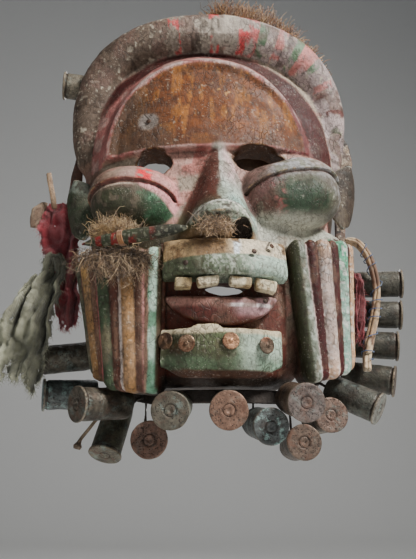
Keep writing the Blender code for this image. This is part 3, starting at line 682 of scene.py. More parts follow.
WOOD = np.array((0.20, 0.092, 0.038))
RAW_WOOD = np.array((0.42, 0.30, 0.17))
DARK = np.array((0.035, 0.020, 0.013))
MID_GREEN = np.array((0.10, 0.19, 0.11))
DARK_GREEN = np.array((0.045, 0.060, 0.032))
MAROON = np.array((0.105, 0.022, 0.018))
PINK = np.array((0.52, 0.22, 0.20))
BRIGHT_RED = np.array((0.62, 0.085, 0.095))


def lay(colour, mask, new):
    """Paint a colour over the old one where the mask is above 0."""
    return colour * (1.0 - mask[:, None]) + np.asarray(new) * mask[:, None]


def deepen(colour):
    """Stronger, darker paint, as oil and handling leave it."""
    grey = colour.mean(axis=1, keepdims=True)
    return np.clip(grey + (colour - grey) * 1.15, 0.002, 1.0) ** 1.22 * 1.16


def crackle(colour, p):
    """Fine dark cracks, pale rubbed flecks and pinholes over old paint."""
    shifted = p + 1.2 * (noise(p, 2.5, 81)[:, None] - 0.5)
    crack = ramp(np.abs(noise(shifted, (2.4, 5.0, 5.5), 82) - 0.5), 0.045, 0.012)
    colour = lay(colour, 0.55 * crack * ramp(noise(p, 16.0, 83), 0.30, 0.5), DARK)
    fleck = ramp(noise(p, 1.1, 84), 0.76, 0.88) * ramp(noise(p, 11.0, 85), 0.45, 0.60)
    colour = lay(colour, 0.32 * fleck, (0.60, 0.57, 0.50))
    dull = fractal(p, 5.0, 3, 86)
    grit = noise(p, 1.3, 87)
    return colour * (0.60 + 0.50 * dull + 0.30 * grit)[:, None]


def paint_face(face):
    p = points_of(face)
    n = normals_of(face)
    x, y, z = p.T
    wobble = 5.0 * (fractal(p, 14.0, 3, 21) - 0.5)
    patchy = fractal(p, 11.0, 4, 31)
    streak = fractal(p, (2.6, 6.0, 22.0), 3, 41)
    speck = noise(p, 1.9, 51)
    wear = edge_curve(face)

    # bare ground of the face: dusty cream over pink
    colour = np.tile(np.array((0.40, 0.34, 0.28)), (len(p), 1))
    colour = lay(colour, ramp(patchy, 0.48, 0.60), (0.50, 0.30, 0.26))
    colour = lay(colour, 0.85 * ramp(x, -62, -84), (0.20, 0.115, 0.085))
    colour = lay(colour, 0.8 * ramp(z + wobble, -20, -60), (0.13, 0.075, 0.055))
    colour = paint_brow(colour, p, wobble, patchy)
    colour = paint_roll(colour, p, wobble, patchy, streak, speck)
    colour = paint_nose(colour, p, n, wobble, patchy, speck)
    colour = paint_eyes(colour, p, wobble, patchy)
    colour = paint_cheeks(colour, p, wobble, patchy, streak, speck)

    # the knife-cut edges of the holes are bare and dark
    for (hole_x, hole_z), wide, tall in (((-45, 71), 12.5, 9.5), ((31, 76), 19.5, 10.0)):
        near = np.sqrt(((x - hole_x) / wide) ** 2 + ((z - hole_z) / tall) ** 2)
        colour = lay(colour, ramp(near + 0.02 * wobble, 1.13, 1.04) * ramp(y, -30, -34), WOOD * 0.42)
    # the nostril hole is painted near black, as painted shade
    nostril_shade = np.linalg.norm((p - np.array(NOSTRIL)) / np.array((8.0, 14.0, 7.5)), axis=1)
    colour = lay(colour, ramp(nostril_shade, 1.15, 1.04), (0.008, 0.007, 0.006))

    # wide hollows are darkened as painted shade with some dirt, narrow grooves are painted darker, and
    # ridges lose paint
    colour = crackle(colour, p)
    # painted shade, with some dirt, in the wide hollows
    colour = lay(colour, 0.60 * ramp(edge_curve(face, 28), -0.15, -1.6) * ramp(patchy, 0.25, 0.5), DARK * 1.4)
    colour = lay(colour, 0.80 * ramp(wear, -0.06, -0.40), DARK)
    chipped = ramp(wear, 0.16, 0.42) * ramp(noise(p, 3.0, 61), 0.45, 0.60)
    colour = lay(colour, 0.8 * chipped, RAW_WOOD)

    colour = deepen(colour)

    # the hollow behind is bare, dark wood
    back = ramp(n[:, 1], -0.05, 0.35) * ramp(y, -74, -64)
    raw = WOOD * 0.75 + 0.22 * (streak[:, None] - 0.5) * np.array((0.4, 0.22, 0.1))
    colour = colour * (1 - back[:, None]) + raw * back[:, None]
    set_colour(face, colour)
    set_value(face, "gloss", 0.5 * ramp(patchy, 0.4, 0.6) * (1 - back))


def paint_brow(colour, p, wobble, patchy):
    x, y, z = p.T
    dome = np.sqrt(((x + 5) / 75.0) ** 2 + (np.maximum(z - 86, 0) / 70.0) ** 2)
    edge = panel_edge(x)
    brow = ramp(z, edge - 2, edge + 1) * ramp(y, -36, -40)
    colour = lay(colour, brow * ramp(dome, 1.42, 1.34), MAROON * 0.6)
    slope = brow * ramp(dome + 0.012 * wobble + 0.0012 * x, 1.17, 1.08)
    colour = lay(colour, slope, (0.36, 0.17, 0.155))
    colour = lay(colour, 0.45 * slope * ramp(patchy, 0.46, 0.58), (0.50, 0.43, 0.38))
    colour = lay(colour, slope * ramp(x + wobble, 40, 56), (0.16, 0.055, 0.055))
    rim = brow * ramp(np.abs(dome - 1.01), 0.035, 0.012) * ramp(z, 96, 130)
    colour = lay(colour, 0.7 * rim * ramp(patchy, 0.34, 0.48), (0.48, 0.40, 0.38))
    bare = brow * ramp(dome + 0.012 * wobble, 0.975, 0.945) * ramp(z + 0.3 * wobble, edge + 1.5, edge + 3)
    mottled = np.array((0.155, 0.060, 0.020)) * (0.45 + 1.1 * fractal(p, 4.5, 3, 35))[:, None]
    mottled = lay(mottled, 0.6 * ramp(fractal(p, (4.0, 4.0, 14.0), 3, 36), 0.52, 0.64), (0.34, 0.165, 0.055))
    flecks = 0.8 * ramp(noise(p, 1.6, 37), 0.80, 0.88) * ramp(patchy, 0.45, 0.6)
    mottled = lay(mottled, flecks, (0.55, 0.33, 0.14))
    mottled = lay(mottled, 0.6 * ramp(z + wobble, edge + 20, edge + 6), (0.095, 0.036, 0.014))
    colour = colour * (1 - bare[:, None]) + mottled * bare[:, None]
    dull = bare * ramp(x + 0.45 * (z - 86) + 1.6 * wobble, -22, -46)
    colour = lay(colour, 0.75 * dull, (0.085, 0.058, 0.042))
    colour = lay(colour, bare * ramp(np.hypot(x + 50, z - 103) + wobble, 8, 5), (0.24, 0.21, 0.19))
    strip = ramp(z, 58, 64) * ramp(z, edge + 0.5, edge - 1) * ramp(y, -45, -55)
    colour = lay(colour, strip * ramp(patchy, 0.40, 0.50), (0.44, 0.29, 0.25))
    left = strip * ramp(x + wobble, -54, -60)
    colour = lay(colour, left, (0.35, 0.30, 0.24))
    red = strip * ramp(np.abs(x + 16) + 0.8 * wobble, 20, 12) * ramp(patchy, 0.52, 0.44)
    return lay(colour, 0.6 * red, (0.42, 0.11, 0.105))


# painted bands across the roll: share of the way along it, half width as a share, and tint
ROLL_BANDS = [
    (0.425, 0.016, BRIGHT_RED * 0.8), (0.50, 0.018, BRIGHT_RED), (0.565, 0.020, BRIGHT_RED),
    (0.64, 0.014, PINK), (0.70, 0.020, PINK), (0.79, 0.018, PINK * 0.8), (0.87, 0.018, MAROON),
    (0.60, 0.006, MID_GREEN), (0.67, 0.006, MID_GREEN), (0.735, 0.005, MID_GREEN), (0.905, 0.02, DARK_GREEN)]


def paint_roll(colour, p, wobble, patchy, streak, speck):
    y, z = p.T[1:]
    roll = smooth_line(ROLL_LINE, 4)
    near = np.full(len(p), 999.0)
    share = np.zeros(len(p))
    for k, point in enumerate(roll):
        distance = np.linalg.norm(p - point, axis=1)
        better = distance < near
        near[better] = distance[better]
        share[better] = k / (len(roll) - 1)
    on = ramp(near, 17.8, 16.6) * ramp(z, 84, 92)
    left = np.array((0.15, 0.115, 0.09))
    mid = np.array((0.41, 0.37, 0.32))
    right = np.array((0.37, 0.31, 0.30))
    base = np.where((share < 0.5)[:, None], left + (mid - left) * ramp(share, 0.34, 0.52)[:, None],
                    mid + (right - mid) * ramp(share, 0.5, 0.66)[:, None])
    base = lay(base, 0.8 * ramp(speck, 0.66, 0.78) * ramp(patchy, 0.36, 0.5), (0.50, 0.46, 0.38))
    base = lay(base, 0.75 * ramp(patchy, 0.50, 0.62), (0.17, 0.115, 0.095))
    radial = np.abs((share * 46 + 0.8 * fractal(p, 18.0, 2, 45)) % 1.0 - 0.5)
    base = lay(base, 0.6 * ramp(radial, 0.10, 0.03) * ramp(streak, 0.36, 0.5), DARK)
    for middle, width, tint in ROLL_BANDS:
        band = ramp(np.abs(share - middle) + 0.003 * wobble, width, width * 0.4)
        colour_patch = ramp(patchy + 0.4 * (streak - 0.5), 0.42, 0.56)
        base = lay(base, 0.75 * band * colour_patch, tint)
    edge = ramp(y, -26, -20) * ramp(share, 0.3, 0.5)
    base = lay(base, 0.6 * edge, (0.36, 0.44, 0.36))
    return colour * (1 - on[:, None]) + base * on[:, None]


def paint_nose(colour, p, n, wobble, patchy, speck):
    x, y, z = p.T
    on = ramp(np.abs(x - 1) - 0.42 * (84 - z), 6, 2) * ramp(y, -70, -76) * ramp(z, 4, 10) * ramp(z, 88, 80)
    # the flank that faces left is painted dark maroon-brown, dark green lower down: partly maroon paint,
    # partly painted shade
    left = ramp(n[:, 0] + 0.05 * wobble, 0.0, -0.34)
    base = np.tile(np.array((0.42, 0.46, 0.41)), (len(p), 1))
    base = lay(base, ramp(z + 1.2 * wobble, 42, 60) * ramp(x + wobble, -4, 8), (0.55, 0.42, 0.41))
    base = lay(base, ramp(z + wobble, 40, 26) * ramp(n[:, 0], 0.1, 0.4), (0.36, 0.49, 0.44))
    base = lay(base, 0.55 * ramp(patchy, 0.48, 0.60), (0.20, 0.22, 0.17))
    base = lay(base, left, (0.125, 0.052, 0.040))
    base = lay(base, left * ramp(z + wobble, 40, 22), (0.095, 0.095, 0.055))
    band = ramp(z, 16, 18) * ramp(z, 29, 27) * ramp(y, -86, -92)
    base = lay(base, band, (0.30, 0.33, 0.27))
    dashes = ramp(noise(p, (1.2, 3.0, 2.6), 92), 0.48, 0.60)
    base = lay(base, 0.75 * band * dashes, (0.55, 0.55, 0.48))
    base = lay(base, 0.7 * band * ramp(speck, 0.62, 0.70), DARK)
    base = lay(base, ramp(np.abs(z - 28.5 + 0.02 * x * x), 1.0, 0.3) * ramp(y, -80, -88), (0.60, 0.60, 0.55))
    base = lay(base, ramp(z, 16.5, 13), (0.25, 0.18, 0.11))
    return colour * (1 - on[:, None]) + base * on[:, None]


def paint_eyes(colour, p, wobble, patchy):
    x, y, z = p.T
    for side, eye in ((-1, EYE_LEFT), (1, EYE_RIGHT)):
        lx, lz = eye_local(eye, x, z)
        rx, ry, rz = eye["radii"]
        height = np.where(lz > 0, eye["top"], rz)
        r = np.sqrt((lx / rx) ** 2 + (lz / height) ** 2 + ((y - eye["centre"][1]) / ry) ** 2)
        on = ramp(r, 1.22, 1.14) * ramp(y, -60, -64)
        u = lx / rx
        below = lid_height(eye, np.clip(u, -1, 1)) - lz
        mottle = fractal(p, 4.0, 3, 47)
        if side < 0:
            lid = np.tile(np.array((0.33, 0.23, 0.20)), (len(p), 1))
            lid = lay(lid, ramp(u + 0.05 * wobble, -0.1, -0.5), (0.21, 0.15, 0.12))
            lid = lay(lid, ramp(u + 0.05 * wobble, 0.25, 0.5), (0.55, 0.28, 0.27))
            lid = lay(lid, 0.8 * ramp(below, -3.5, -1.0), (0.20, 0.075, 0.062))
            flush = ramp(np.abs(u - 0.24), 0.24, 0.10) * ramp(below, -1, -3) * ramp(mottle, 0.36, 0.48)
            lid = lay(lid, flush, (0.66, 0.06, 0.075))
            ball = np.tile(np.array((0.058, 0.060, 0.036)), (len(p), 1))
            ball = lay(ball, ramp(below + 0.8 * wobble, 7, 2), (0.16, 0.115, 0.095))
            ball = lay(ball, 0.8 * ramp(mottle, 0.50, 0.60), (0.150, 0.125, 0.095))
            green = ramp(u + 0.07 * wobble + 0.5 * (mottle - 0.5), 0.12, 0.42)
            ball = lay(ball, green, (0.050, 0.105, 0.058))
            ball = lay(ball, green * ramp(mottle, 0.54, 0.66), (0.12, 0.22, 0.14))
            ball = lay(ball, ramp(u + 0.04 * wobble, 0.02, 0.2) * ramp(below - 10 * u + wobble, 2.5, -1),
                       (0.60, 0.33, 0.33))
            ball = lay(ball, ramp(below + wobble, 20, 28), (0.040, 0.055, 0.030))
            ball = lay(ball, ramp(np.abs(below - 2.2), 1.0, 0.4) * ramp(u, 0.15, -0.2), (0.42, 0.34, 0.28))
        else:
            lid = np.tile(np.array((0.38, 0.38, 0.38)), (len(p), 1))
            lid = lay(lid, ramp(mottle, 0.5, 0.62), (0.24, 0.24, 0.20))
            lid = lay(lid, ramp(u + 0.05 * wobble, -0.25, -0.6), (0.19, 0.135, 0.12))
            ball = np.tile(np.array((0.27, 0.26, 0.25)), (len(p), 1))
            ball = lay(ball, ramp(mottle, 0.46, 0.60), (0.17, 0.155, 0.13))
            centre = np.hypot((u - 0.04) / 0.56, (below - 19.0) / 12.5)
            centre = centre + 0.07 * wobble + 0.5 * (mottle - 0.5)
            ball = lay(ball, ramp(centre, 1.50, 1.05), (0.125, 0.130, 0.095))
            ball = lay(ball, ramp(centre, 1.12, 0.80), (0.040, 0.066, 0.038))
            ball = lay(ball, 0.8 * ramp(u + 0.07 * wobble, -0.16, -0.55), (0.175, 0.080, 0.070))
            flush = 0.6 * ramp(np.abs(u + 0.36), 0.16, 0.04) * ramp(mottle, 0.45, 0.55)
            ball = lay(ball, flush, (0.36, 0.12, 0.12))
            ball = lay(ball, 0.7 * ramp(u, -0.1, -0.4) * ramp(mottle, 0.56, 0.66), (0.20, 0.17, 0.14))
            ball = lay(ball, ramp(below + wobble, 29, 34), (0.34, 0.32, 0.26))
        slit = ramp(np.abs(below), 1.3, 0.5)
        skin = np.where((below < 0)[:, None], lid, ball)
        skin = lay(skin, 0.6 * slit, (0.15, 0.075, 0.06) if side > 0 else (0.28, 0.13, 0.115))
        colour = colour * (1 - on[:, None]) + skin * on[:, None]
    under = ramp(z, 34, 26) * ramp(z, 4, 10) * ramp(x, 22, 28) * ramp(y, -30, -45)
    colour = lay(colour, under * ramp(patchy, 0.30, 0.46), (0.46, 0.46, 0.40))
    return colour


DEEP_RED = np.array((0.066, 0.012, 0.012))
CHEEK_COLOURS = {
    "left": [(0.24, 0.40, 0.29), (0.125, 0.068, 0.050), (0.30, 0.185, 0.095), (0.14, 0.065, 0.048),
             (0.075, 0.100, 0.060), (0.18, 0.100, 0.072), (0.29, 0.185, 0.100), (0.155, 0.085, 0.068),
             (0.120, 0.125, 0.090)],
    "right": [(0.20, 0.22, 0.18), DEEP_RED, (0.50, 0.41, 0.37), DEEP_RED, (0.16, 0.38, 0.26),
              DEEP_RED, (0.55, 0.38, 0.26), (0.42, 0.36, 0.38)]}


def paint_cheeks(colour, p, wobble, patchy, streak, speck):
    x, y, z = p.T
    colour = lay(colour, ramp(z, -76, -80), (0.055, 0.036, 0.026))
    shade = ramp(z + wobble, 26, 18) * ramp(z, -8, 2) * ramp(x + wobble, -22, -30)
    colour = lay(colour, shade, (0.080, 0.070, 0.046))
    for side, cheek in CHEEKS.items():
        bars = flutes(cheek)
        best = np.full(len(p), 99.0)
        index = np.zeros(len(p), int)
        around = np.zeros(len(p))
        for k, (top, bottom, out, radius) in enumerate(bars):
            across = np.array([-out[1], out[0], 0.0])
            t = np.clip((z - top[2]) / (bottom[2] - top[2]), 0, 1)
            dx = x - (top[0] + (bottom[0] - top[0]) * t) + out[0] * radius
            dy = y - (top[1] + (bottom[1] - top[1]) * t) + out[1] * radius
            u = dx * across[0] + dy * across[1]
            v = dx * out[0] + dy * out[1]
            body = np.sqrt(u * u + np.maximum(v, 0) ** 2) - radius
            body = np.maximum(body, -v - 6.0)
            body = np.maximum(np.maximum(body, z - top[2] - 1), bottom[2] - 1 - z)
            better = body < best
            best[better] = body[better]
            index[better] = k
            around[better] = u[better] / radius
        on = ramp(best, 1.6, 0.9)
        tints = np.array([np.asarray(c) for c in CHEEK_COLOURS[side]])[index]
        faded = ramp(patchy + 0.5 * (streak - 0.5), 0.50, 0.66)
        tints = lay(tints, 0.35 * faded, (0.30, 0.22, 0.16))
        if side == "left":
            pale = (index == 2) * ramp(-around, 0.35, 0.6) * ramp(streak, 0.35, 0.5)
            tints = lay(tints, pale, (0.62, 0.54, 0.50))
            tints = lay(tints, (index == 1) * ramp(around, 0.2, 0.6), (0.46, 0.25, 0.23))
            tints = lay(tints, (index == 4) * ramp(-around, 0.35, 0.6), (0.44, 0.17, 0.17))
            # pale mint-white patches on the crest of the innermost flute: partly pale paint, partly painted
            # highlight
            worn = (index == 0) * ramp(patchy + 0.5 * (streak - 0.5) - 0.25 * np.abs(around), 0.40, 0.54)
            tints = lay(tints, 0.8 * worn, (0.60, 0.74, 0.64))
            tints = lay(tints, (index == 0) * ramp(around, 0.35, 0.75), (0.10, 0.17, 0.11))
            fringe = (index == 0) * ramp(-around + 0.08 * wobble, 0.42, 0.60)
            tints = lay(tints, fringe, (0.40, 0.27, 0.21))
            tints = lay(tints, 0.7 * (index == 6) * ramp(z, -30, 0), (0.50, 0.34, 0.17))
            # the upper ends of flutes 1 to 5 are painted darker
            soiled = 0.8 * (index >= 1) * (index <= 5) * ramp(z + wobble, -14, -4)
            tints = lay(tints, soiled, (0.13, 0.09, 0.06))
        else:
            chips = (index == 0) * ramp(noise(p, (1.6, 1.6, 2.6), 77), 0.45, 0.56) * ramp(around, -0.2, 0.2)
            tints = lay(tints, 0.65 * chips, (0.50, 0.52, 0.47))
            tints = lay(tints, (index == 0) * ramp(around, 0.60, 0.84), (0.52, 0.42, 0.40))
            # the inner side of the innermost flute is painted dark green: partly green paint, partly painted
            # shade
            inner = (index == 0) * ramp(around + 0.04 * wobble, 0.05, -0.25)
            tints = lay(tints, inner, (0.070, 0.075, 0.045))
            tints = lay(tints, 0.6 * (index == 2) * ramp(np.abs(z + 35), 26, 42), (0.42, 0.27, 0.17))
            tints = lay(tints, 0.7 * (index == 4) * ramp(z, 2, -22), (0.36, 0.47, 0.42))
            tints = lay(tints, (index == 4) * ramp(speck, 0.55, 0.66), (0.52, 0.55, 0.50))
            rubbed = 0.6 * ((index == 2) | (index == 6)) * ramp(speck, 0.6, 0.7)
            tints = lay(tints, rubbed, (0.60, 0.56, 0.54))
        colour = colour * (1 - on[:, None]) + tints * on[:, None]
    inner_left = ramp(np.abs(x + 37.5), 3.0, 1.6) * ramp(z, 9, 6) * ramp(y, -76, -79)
    # the right cheek's inner wall is painted dark green-brown: partly its paint, partly painted shade
    inner_right_shade = ramp(np.abs(x - 43.8), 3.0, 1.6) * ramp(z, 9, 6) * ramp(y, -76, -79)
    colour = lay(colour, inner_left, (0.12, 0.09, 0.055))
    colour = lay(colour, inner_right_shade, (0.085, 0.080, 0.045))
    floor = ramp(y, -81, -79.5) * ramp(y, -58, -64) * ramp(x, -39, -37) * ramp(x, 46, 44) * ramp(z, 9.5, 8.5)
    colour = lay(colour, floor, (0.115, 0.040, 0.028))
    colour = lay(colour, floor * ramp(patchy, 0.50, 0.64), (0.19, 0.115, 0.085))
    colour = lay(colour, ramp(z, -77, -80) * ramp(x, -38, -35) * ramp(x, 44, 41), (0.045, 0.030, 0.022))
    return colour


# ------------------------------------------------------------------ pieces cut from the CAD's own shapes

def closed_copy(name, node, step):
    """A finely meshed copy of a CAD node, ready to be worn down."""
    cad = frame["nodes"][node].data
    cad.calc_loop_triangles()
    corners = np.zeros(len(cad.loop_triangles) * 3, np.int32)
    cad.loop_triangles.foreach_get("vertices", corners)
    points = points_of(frame["nodes"][node])
    grid = openvdb.FloatGrid.createLevelSetFromPolygons(
        points, triangles=corners.reshape(-1, 3).astype(np.uint32),
        transform=openvdb.createLinearTransform(voxelSize=step), halfWidth=3.0)
    made, quads = grid.convertToQuads()
    a, b, c = (made[quads[:, k]] for k in range(3))
    if np.einsum("ij,ij->i", a, np.cross(b, c)).sum() < 0:
        quads = quads[:, ::-1]
    return mesh_object(name, made, quads.astype(np.int64))


def wear_down(obj, rounding=2, dents=0.3, grain=(2.0, 2.0, 9.0), chips=0.5, seed=1):
    """Rounds the edges, dents the faces and knocks chips off the edges; nothing grows by much."""
    points = points_of(obj)
    normals = normals_of(obj)
    sharp = np.clip(edge_curve(obj, 3), -1.0, 1.0)
    soft = neighbour_mean(obj, points, rounding) if rounding else points
    chip = ramp(sharp, 0.05, 0.30) * ramp(noise(points, 4.5, seed + 1), 0.52, 0.70)
    push = dents * (fractal(points, 7.0, 2, seed + 2) - 0.6)
    push += dents * 0.5 * (noise(points, grain, seed + 3) - 0.6)
    push -= chips * chip
    move_points(obj, soft + normals * push[:, None])
    return chip


def surface_facts(obj):
    """Everything the paint functions read about a piece's surface."""
    p = points_of(obj)
    return {"p": p, "n": normals_of(obj), "x": p[:, 0], "y": p[:, 1], "z": p[:, 2],
            "wobble": 5.0 * (fractal(p, 14.0, 3, 21) - 0.5), "patchy": fractal(p, 9.0, 4, 33),
            "streak": fractal(p, (2.2, 6.0, 16.0), 3, 43), "speck": noise(p, 1.7, 53),
            "wear": edge_curve(obj), "count": len(p)}


def flat_tint(f, colour):
    return np.tile(np.array(colour, float), (f["count"], 1))


def paint_lip_block(f):
    x, z = f["x"], f["z"]
    colour = flat_tint(f, (0.35, 0.26, 0.16))
    colour = lay(colour, ramp(np.abs(x + 6) + f["wobble"], 14, 6), (0.25, 0.17, 0.10))
    colour = lay(colour, ramp(x + 1.5 * f["wobble"], 2, 12), (0.64, 0.57, 0.45))
    colour = lay(colour, ramp(np.abs(x - 9.5) + 0.4 * f["wobble"], 3.2, 1.2) * ramp(f["streak"], 0.35, 0.5),
                 (0.74, 0.78, 0.80))
    colour = lay(colour, ramp(f["patchy"], 0.56, 0.66), (0.22, 0.15, 0.09))
    split = -7.5 + 0.04 * x + 0.25 * f["wobble"]
    band = ramp(z, split + 0.8, split - 0.8)
    green = flat_tint(f, (0.110, 0.125, 0.080))
    green = lay(green, ramp(x + f["wobble"], -14, 2), (0.20, 0.235, 0.175))
    green = lay(green, ramp(x + f["wobble"], 10, 26), (0.43, 0.52, 0.45))
    stitches = ramp(noise(f["p"], (0.8, 2.4, 1.3), 91), 0.46, 0.60)
    green = lay(green, 0.60 * ramp(np.abs(x - 6), 26, 10) * stitches, (0.50, 0.52, 0.46))
    green = lay(green, 0.6 * ramp(f["patchy"], 0.56, 0.66) * ramp(x, 10, -6), (0.06, 0.058, 0.038))
    colour = colour * (1 - band[:, None]) + green * band[:, None]
    crack = ramp(np.abs(x - 30 - 0.5 * (z - 2)), 1.0, 0.3) * ramp(z, -4, 0)
    return lay(colour, crack, DARK)


def paint_lower_lip(f):
    x, z = f["x"], f["z"]
    colour = flat_tint(f, (0.34, 0.20, 0.17))
    colour = lay(colour, ramp(z + 0.3 * f["wobble"], -35.5, -38.5), (0.115, 0.038, 0.030))
    colour = lay(colour, ramp(x + f["wobble"], 4, 14) * ramp(z, -46, -40), (0.36, 0.24, 0.245))
    # a pale line along the lip's edge on its right half is a painted highlight
    colour = lay(colour, ramp(np.abs(z + 37 - 0.03 * x), 1.6, 0.6) * ramp(x, 0, 8), (0.62, 0.55, 0.54))
    return lay(colour, 0.7 * ramp(f["patchy"], 0.52, 0.62), (0.16, 0.09, 0.07))


def paint_chin(f):
    x, z = f["x"], f["z"]
    colour = flat_tint(f, (0.070, 0.072, 0.040))
    colour = lay(colour, ramp(x + 1.5 * f["wobble"], -22, -4), (0.110, 0.130, 0.072))
    colour = lay(colour, 0.8 * ramp(z + f["wobble"], -66, -71), (0.120, 0.165, 0.105))
    colour = lay(colour, ramp(x + f["wobble"], 4, 18), (0.42, 0.49, 0.41))
    colour = lay(colour, 0.8 * ramp(x, 18, 26) * ramp(z + f["wobble"], -66, -72), (0.22, 0.31, 0.23))
    colour = lay(colour, 0.7 * ramp(f["patchy"], 0.58, 0.66) * ramp(x, 6, -14), (0.10, 0.060, 0.032))
    colour = lay(colour, 0.25 * ramp(f["speck"], 0.70, 0.80), (0.34, 0.35, 0.27))
    colour = lay(colour, ramp(z + 0.5 * f["wobble"], -56.0, -54.0), (0.52, 0.46, 0.34))
    # the brown band along the bottom edge is painted shade under the chin block
    return lay(colour, ramp(z + 0.3 * f["wobble"], -75.5, -77.5), (0.10, 0.052, 0.035))


def paint_ear(f):
    right = ramp(f["x"], 0, 10)
    # the dark ground below the pale top is partly painted shade
    colour = flat_tint(f, (0.095, 0.100, 0.072))
    colour = lay(colour, ramp(f["z"] + f["wobble"], 52, 62), (0.24, 0.27, 0.23))
    colour = lay(colour, ramp(f["patchy"], 0.50, 0.60), (0.065, 0.080, 0.050))
    colour = lay(colour, right, (0.062, 0.046, 0.034))
    colour = lay(colour, right * ramp(f["patchy"], 0.50, 0.62), (0.105, 0.085, 0.062))
    colour = lay(colour, ramp(f["wear"], 0.08, 0.25), (0.33, 0.34, 0.30))
    return lay(colour, 0.7 * ramp(f["patchy"], 0.38, 0.30), (0.035, 0.030, 0.022))


def paint_tooth(f):
    colour = flat_tint(f, (0.56, 0.50, 0.38))
    colour = lay(colour, ramp(f["x"], -12, -20), (0.37, 0.31, 0.20))
    colour = lay(colour, 0.8 * ramp(f["patchy"], 0.50, 0.62), (0.33, 0.25, 0.15))
    return lay(colour, 0.6 * ramp(f["speck"], 0.70, 0.80), (0.13, 0.085, 0.055))


def paint_stick(f):
    x = f["x"]
    bands = np.sin(0.55 * x + 0.5 * f["wobble"])
    colour = flat_tint(f, (0.060, 0.070, 0.042))
    colour = lay(colour, ramp(bands, 0.1, 0.6) * ramp(f["patchy"], 0.40, 0.48), (0.20, 0.032, 0.028))
    colour = lay(colour, ramp(x, -48, -38), (0.050, 0.052, 0.038))
    return lay(colour, 0.6 * ramp(f["speck"], 0.68, 0.78), (0.28, 0.28, 0.22))


def paint_plain(colour, spots, share=0.5):
    def paint(f):
        tint = flat_tint(f, colour)
        tint = lay(tint, ramp(f["patchy"], share, share + 0.1), spots)
        tint = lay(tint, 0.6 * ramp(f["wear"], 0.1, 0.35), np.minimum(np.array(spots) * 1.6 + 0.02, 0.9))
        return lay(tint, 0.7 * ramp(f["wear"], -0.08, -0.35), np.array(colour) * 0.2)
    return paint


def paint_hide(f):
    tint = flat_tint(f, (0.22, 0.155, 0.10))
    tint = lay(tint, ramp(f["patchy"], 0.46, 0.56), (0.085, 0.050, 0.034))
    tint = lay(tint, ramp(noise(f["p"], 4.0, 95), 0.62, 0.72), (0.020, 0.014, 0.010))
    tint = lay(tint, ramp(f["wear"], 0.06, 0.20) * ramp(f["patchy"], 0.40, 0.5), (0.36, 0.115, 0.080))
    return lay(tint, 0.6 * ramp(f["speck"], 0.66, 0.76), (0.45, 0.38, 0.29))


def aged_metal_material(name, metallic, rough, pit_scale):
    """Tarnished metal: the paint attribute under pits, rust bloom and green salts."""
    mat, shader = new_material(name)
    w = Wiring(mat)
    tone = w.span(w.noise(210, 6, 0.75), 0.32, 0.68, 0.30, 1.45)
    grey = w.node("ShaderNodeCombineColor")
    for socket in grey.inputs:
        w.link(tone, socket)
    colour = w.mix(1.0, w.attribute("paint"), grey.outputs[0], 'MULTIPLY')
    bloom = w.math('MULTIPLY', w.span(w.noise(120, 6, 0.72), 0.50, 0.62), w.attribute("rust", "Fac"))
    colour = w.mix(bloom, colour, (0.115, 0.052, 0.030))
    salts = w.math('MULTIPLY', w.span(w.noise(170, 5, 0.7), 0.54, 0.64), w.attribute("salts", "Fac"))
    colour = w.mix(salts, colour, (0.26, 0.38, 0.35))
    pits = w.math('MAXIMUM', w.span(w.cells(pit_scale), 0.30, 0.14),
                  w.span(w.noise(pit_scale * 0.9, 4, 0.7), 0.58, 0.68))
    pits = w.math('MULTIPLY', pits, w.span(w.noise(80, 3), 0.36, 0.54, 0.15, 1.0))
    colour = w.mix(pits, colour, (0.018, 0.012, 0.009))
    w.link(colour, shader.inputs["Base Color"])
    covered = w.math('MAXIMUM', w.math('MAXIMUM', bloom, salts), pits)
    w.link(w.span(covered, 0.0, 1.0, metallic, 0.05), shader.inputs["Metallic"])
    w.link(w.math('ADD', w.span(w.noise(300, 3), 0.3, 0.7, rough - 0.1, rough + 0.12),
                  w.math('MULTIPLY', covered, 0.25)), shader.inputs["Roughness"])
    relief = w.math('SUBTRACT', w.math('MULTIPLY', w.noise(520, 4, 0.7), 0.6), pits)
    w.link(w.bump(relief, 0.9, 0.0007), shader.inputs["Normal"])
    return mat


def leather_material(name, rough=0.62, grain=480):
    mat, shader = new_material(name)
    w = Wiring(mat)
    tone = w.span(w.noise(90, 5, 0.65), 0.32, 0.68, 0.6, 1.35)
    grey = w.node("ShaderNodeCombineColor")
    for socket in grey.inputs:
        w.link(tone, socket)
    colour = w.mix(1.0, w.attribute("paint"), grey.outputs[0], 'MULTIPLY')
    creases = w.span(w.cells(grain, 'DISTANCE_TO_EDGE'), 0.10, 0.0)
    colour = w.mix(w.math('MULTIPLY', creases, 0.55), colour, (0.02, 0.012, 0.008))
    w.link(colour, shader.inputs["Base Color"])
    w.link(w.span(w.noise(220, 3), 0.3, 0.7, rough - 0.1, rough + 0.15), shader.inputs["Roughness"])
    relief = w.math('SUBTRACT', w.noise(160, 5, 0.7), w.math('MULTIPLY', creases, 0.5))
    w.link(w.bump(relief, 0.7, 0.0006), shader.inputs["Normal"])
    return mat


def fibre_material(name):
    """Dry plant fibre or thread: each strand has its own tint in the paint attribute."""
    mat, shader = new_material(name)
    w = Wiring(mat)
    tone = w.span(w.noise(260, 3), 0.3, 0.7, 0.65, 1.3)
    grey = w.node("ShaderNodeCombineColor")
    for socket in grey.inputs:
        w.link(tone, socket)
    w.link(w.mix(1.0, w.attribute("paint"), grey.outputs[0], 'MULTIPLY'), shader.inputs["Base Color"])
    shader.inputs["Roughness"].default_value = 0.72
    shader.inputs["Sheen Weight"].default_value = 0.25
    w.link(w.bump(w.noise(900, 2, 0.5, (1, 1, 0.3)), 0.4, 0.0002), shader.inputs["Normal"])
    return mat


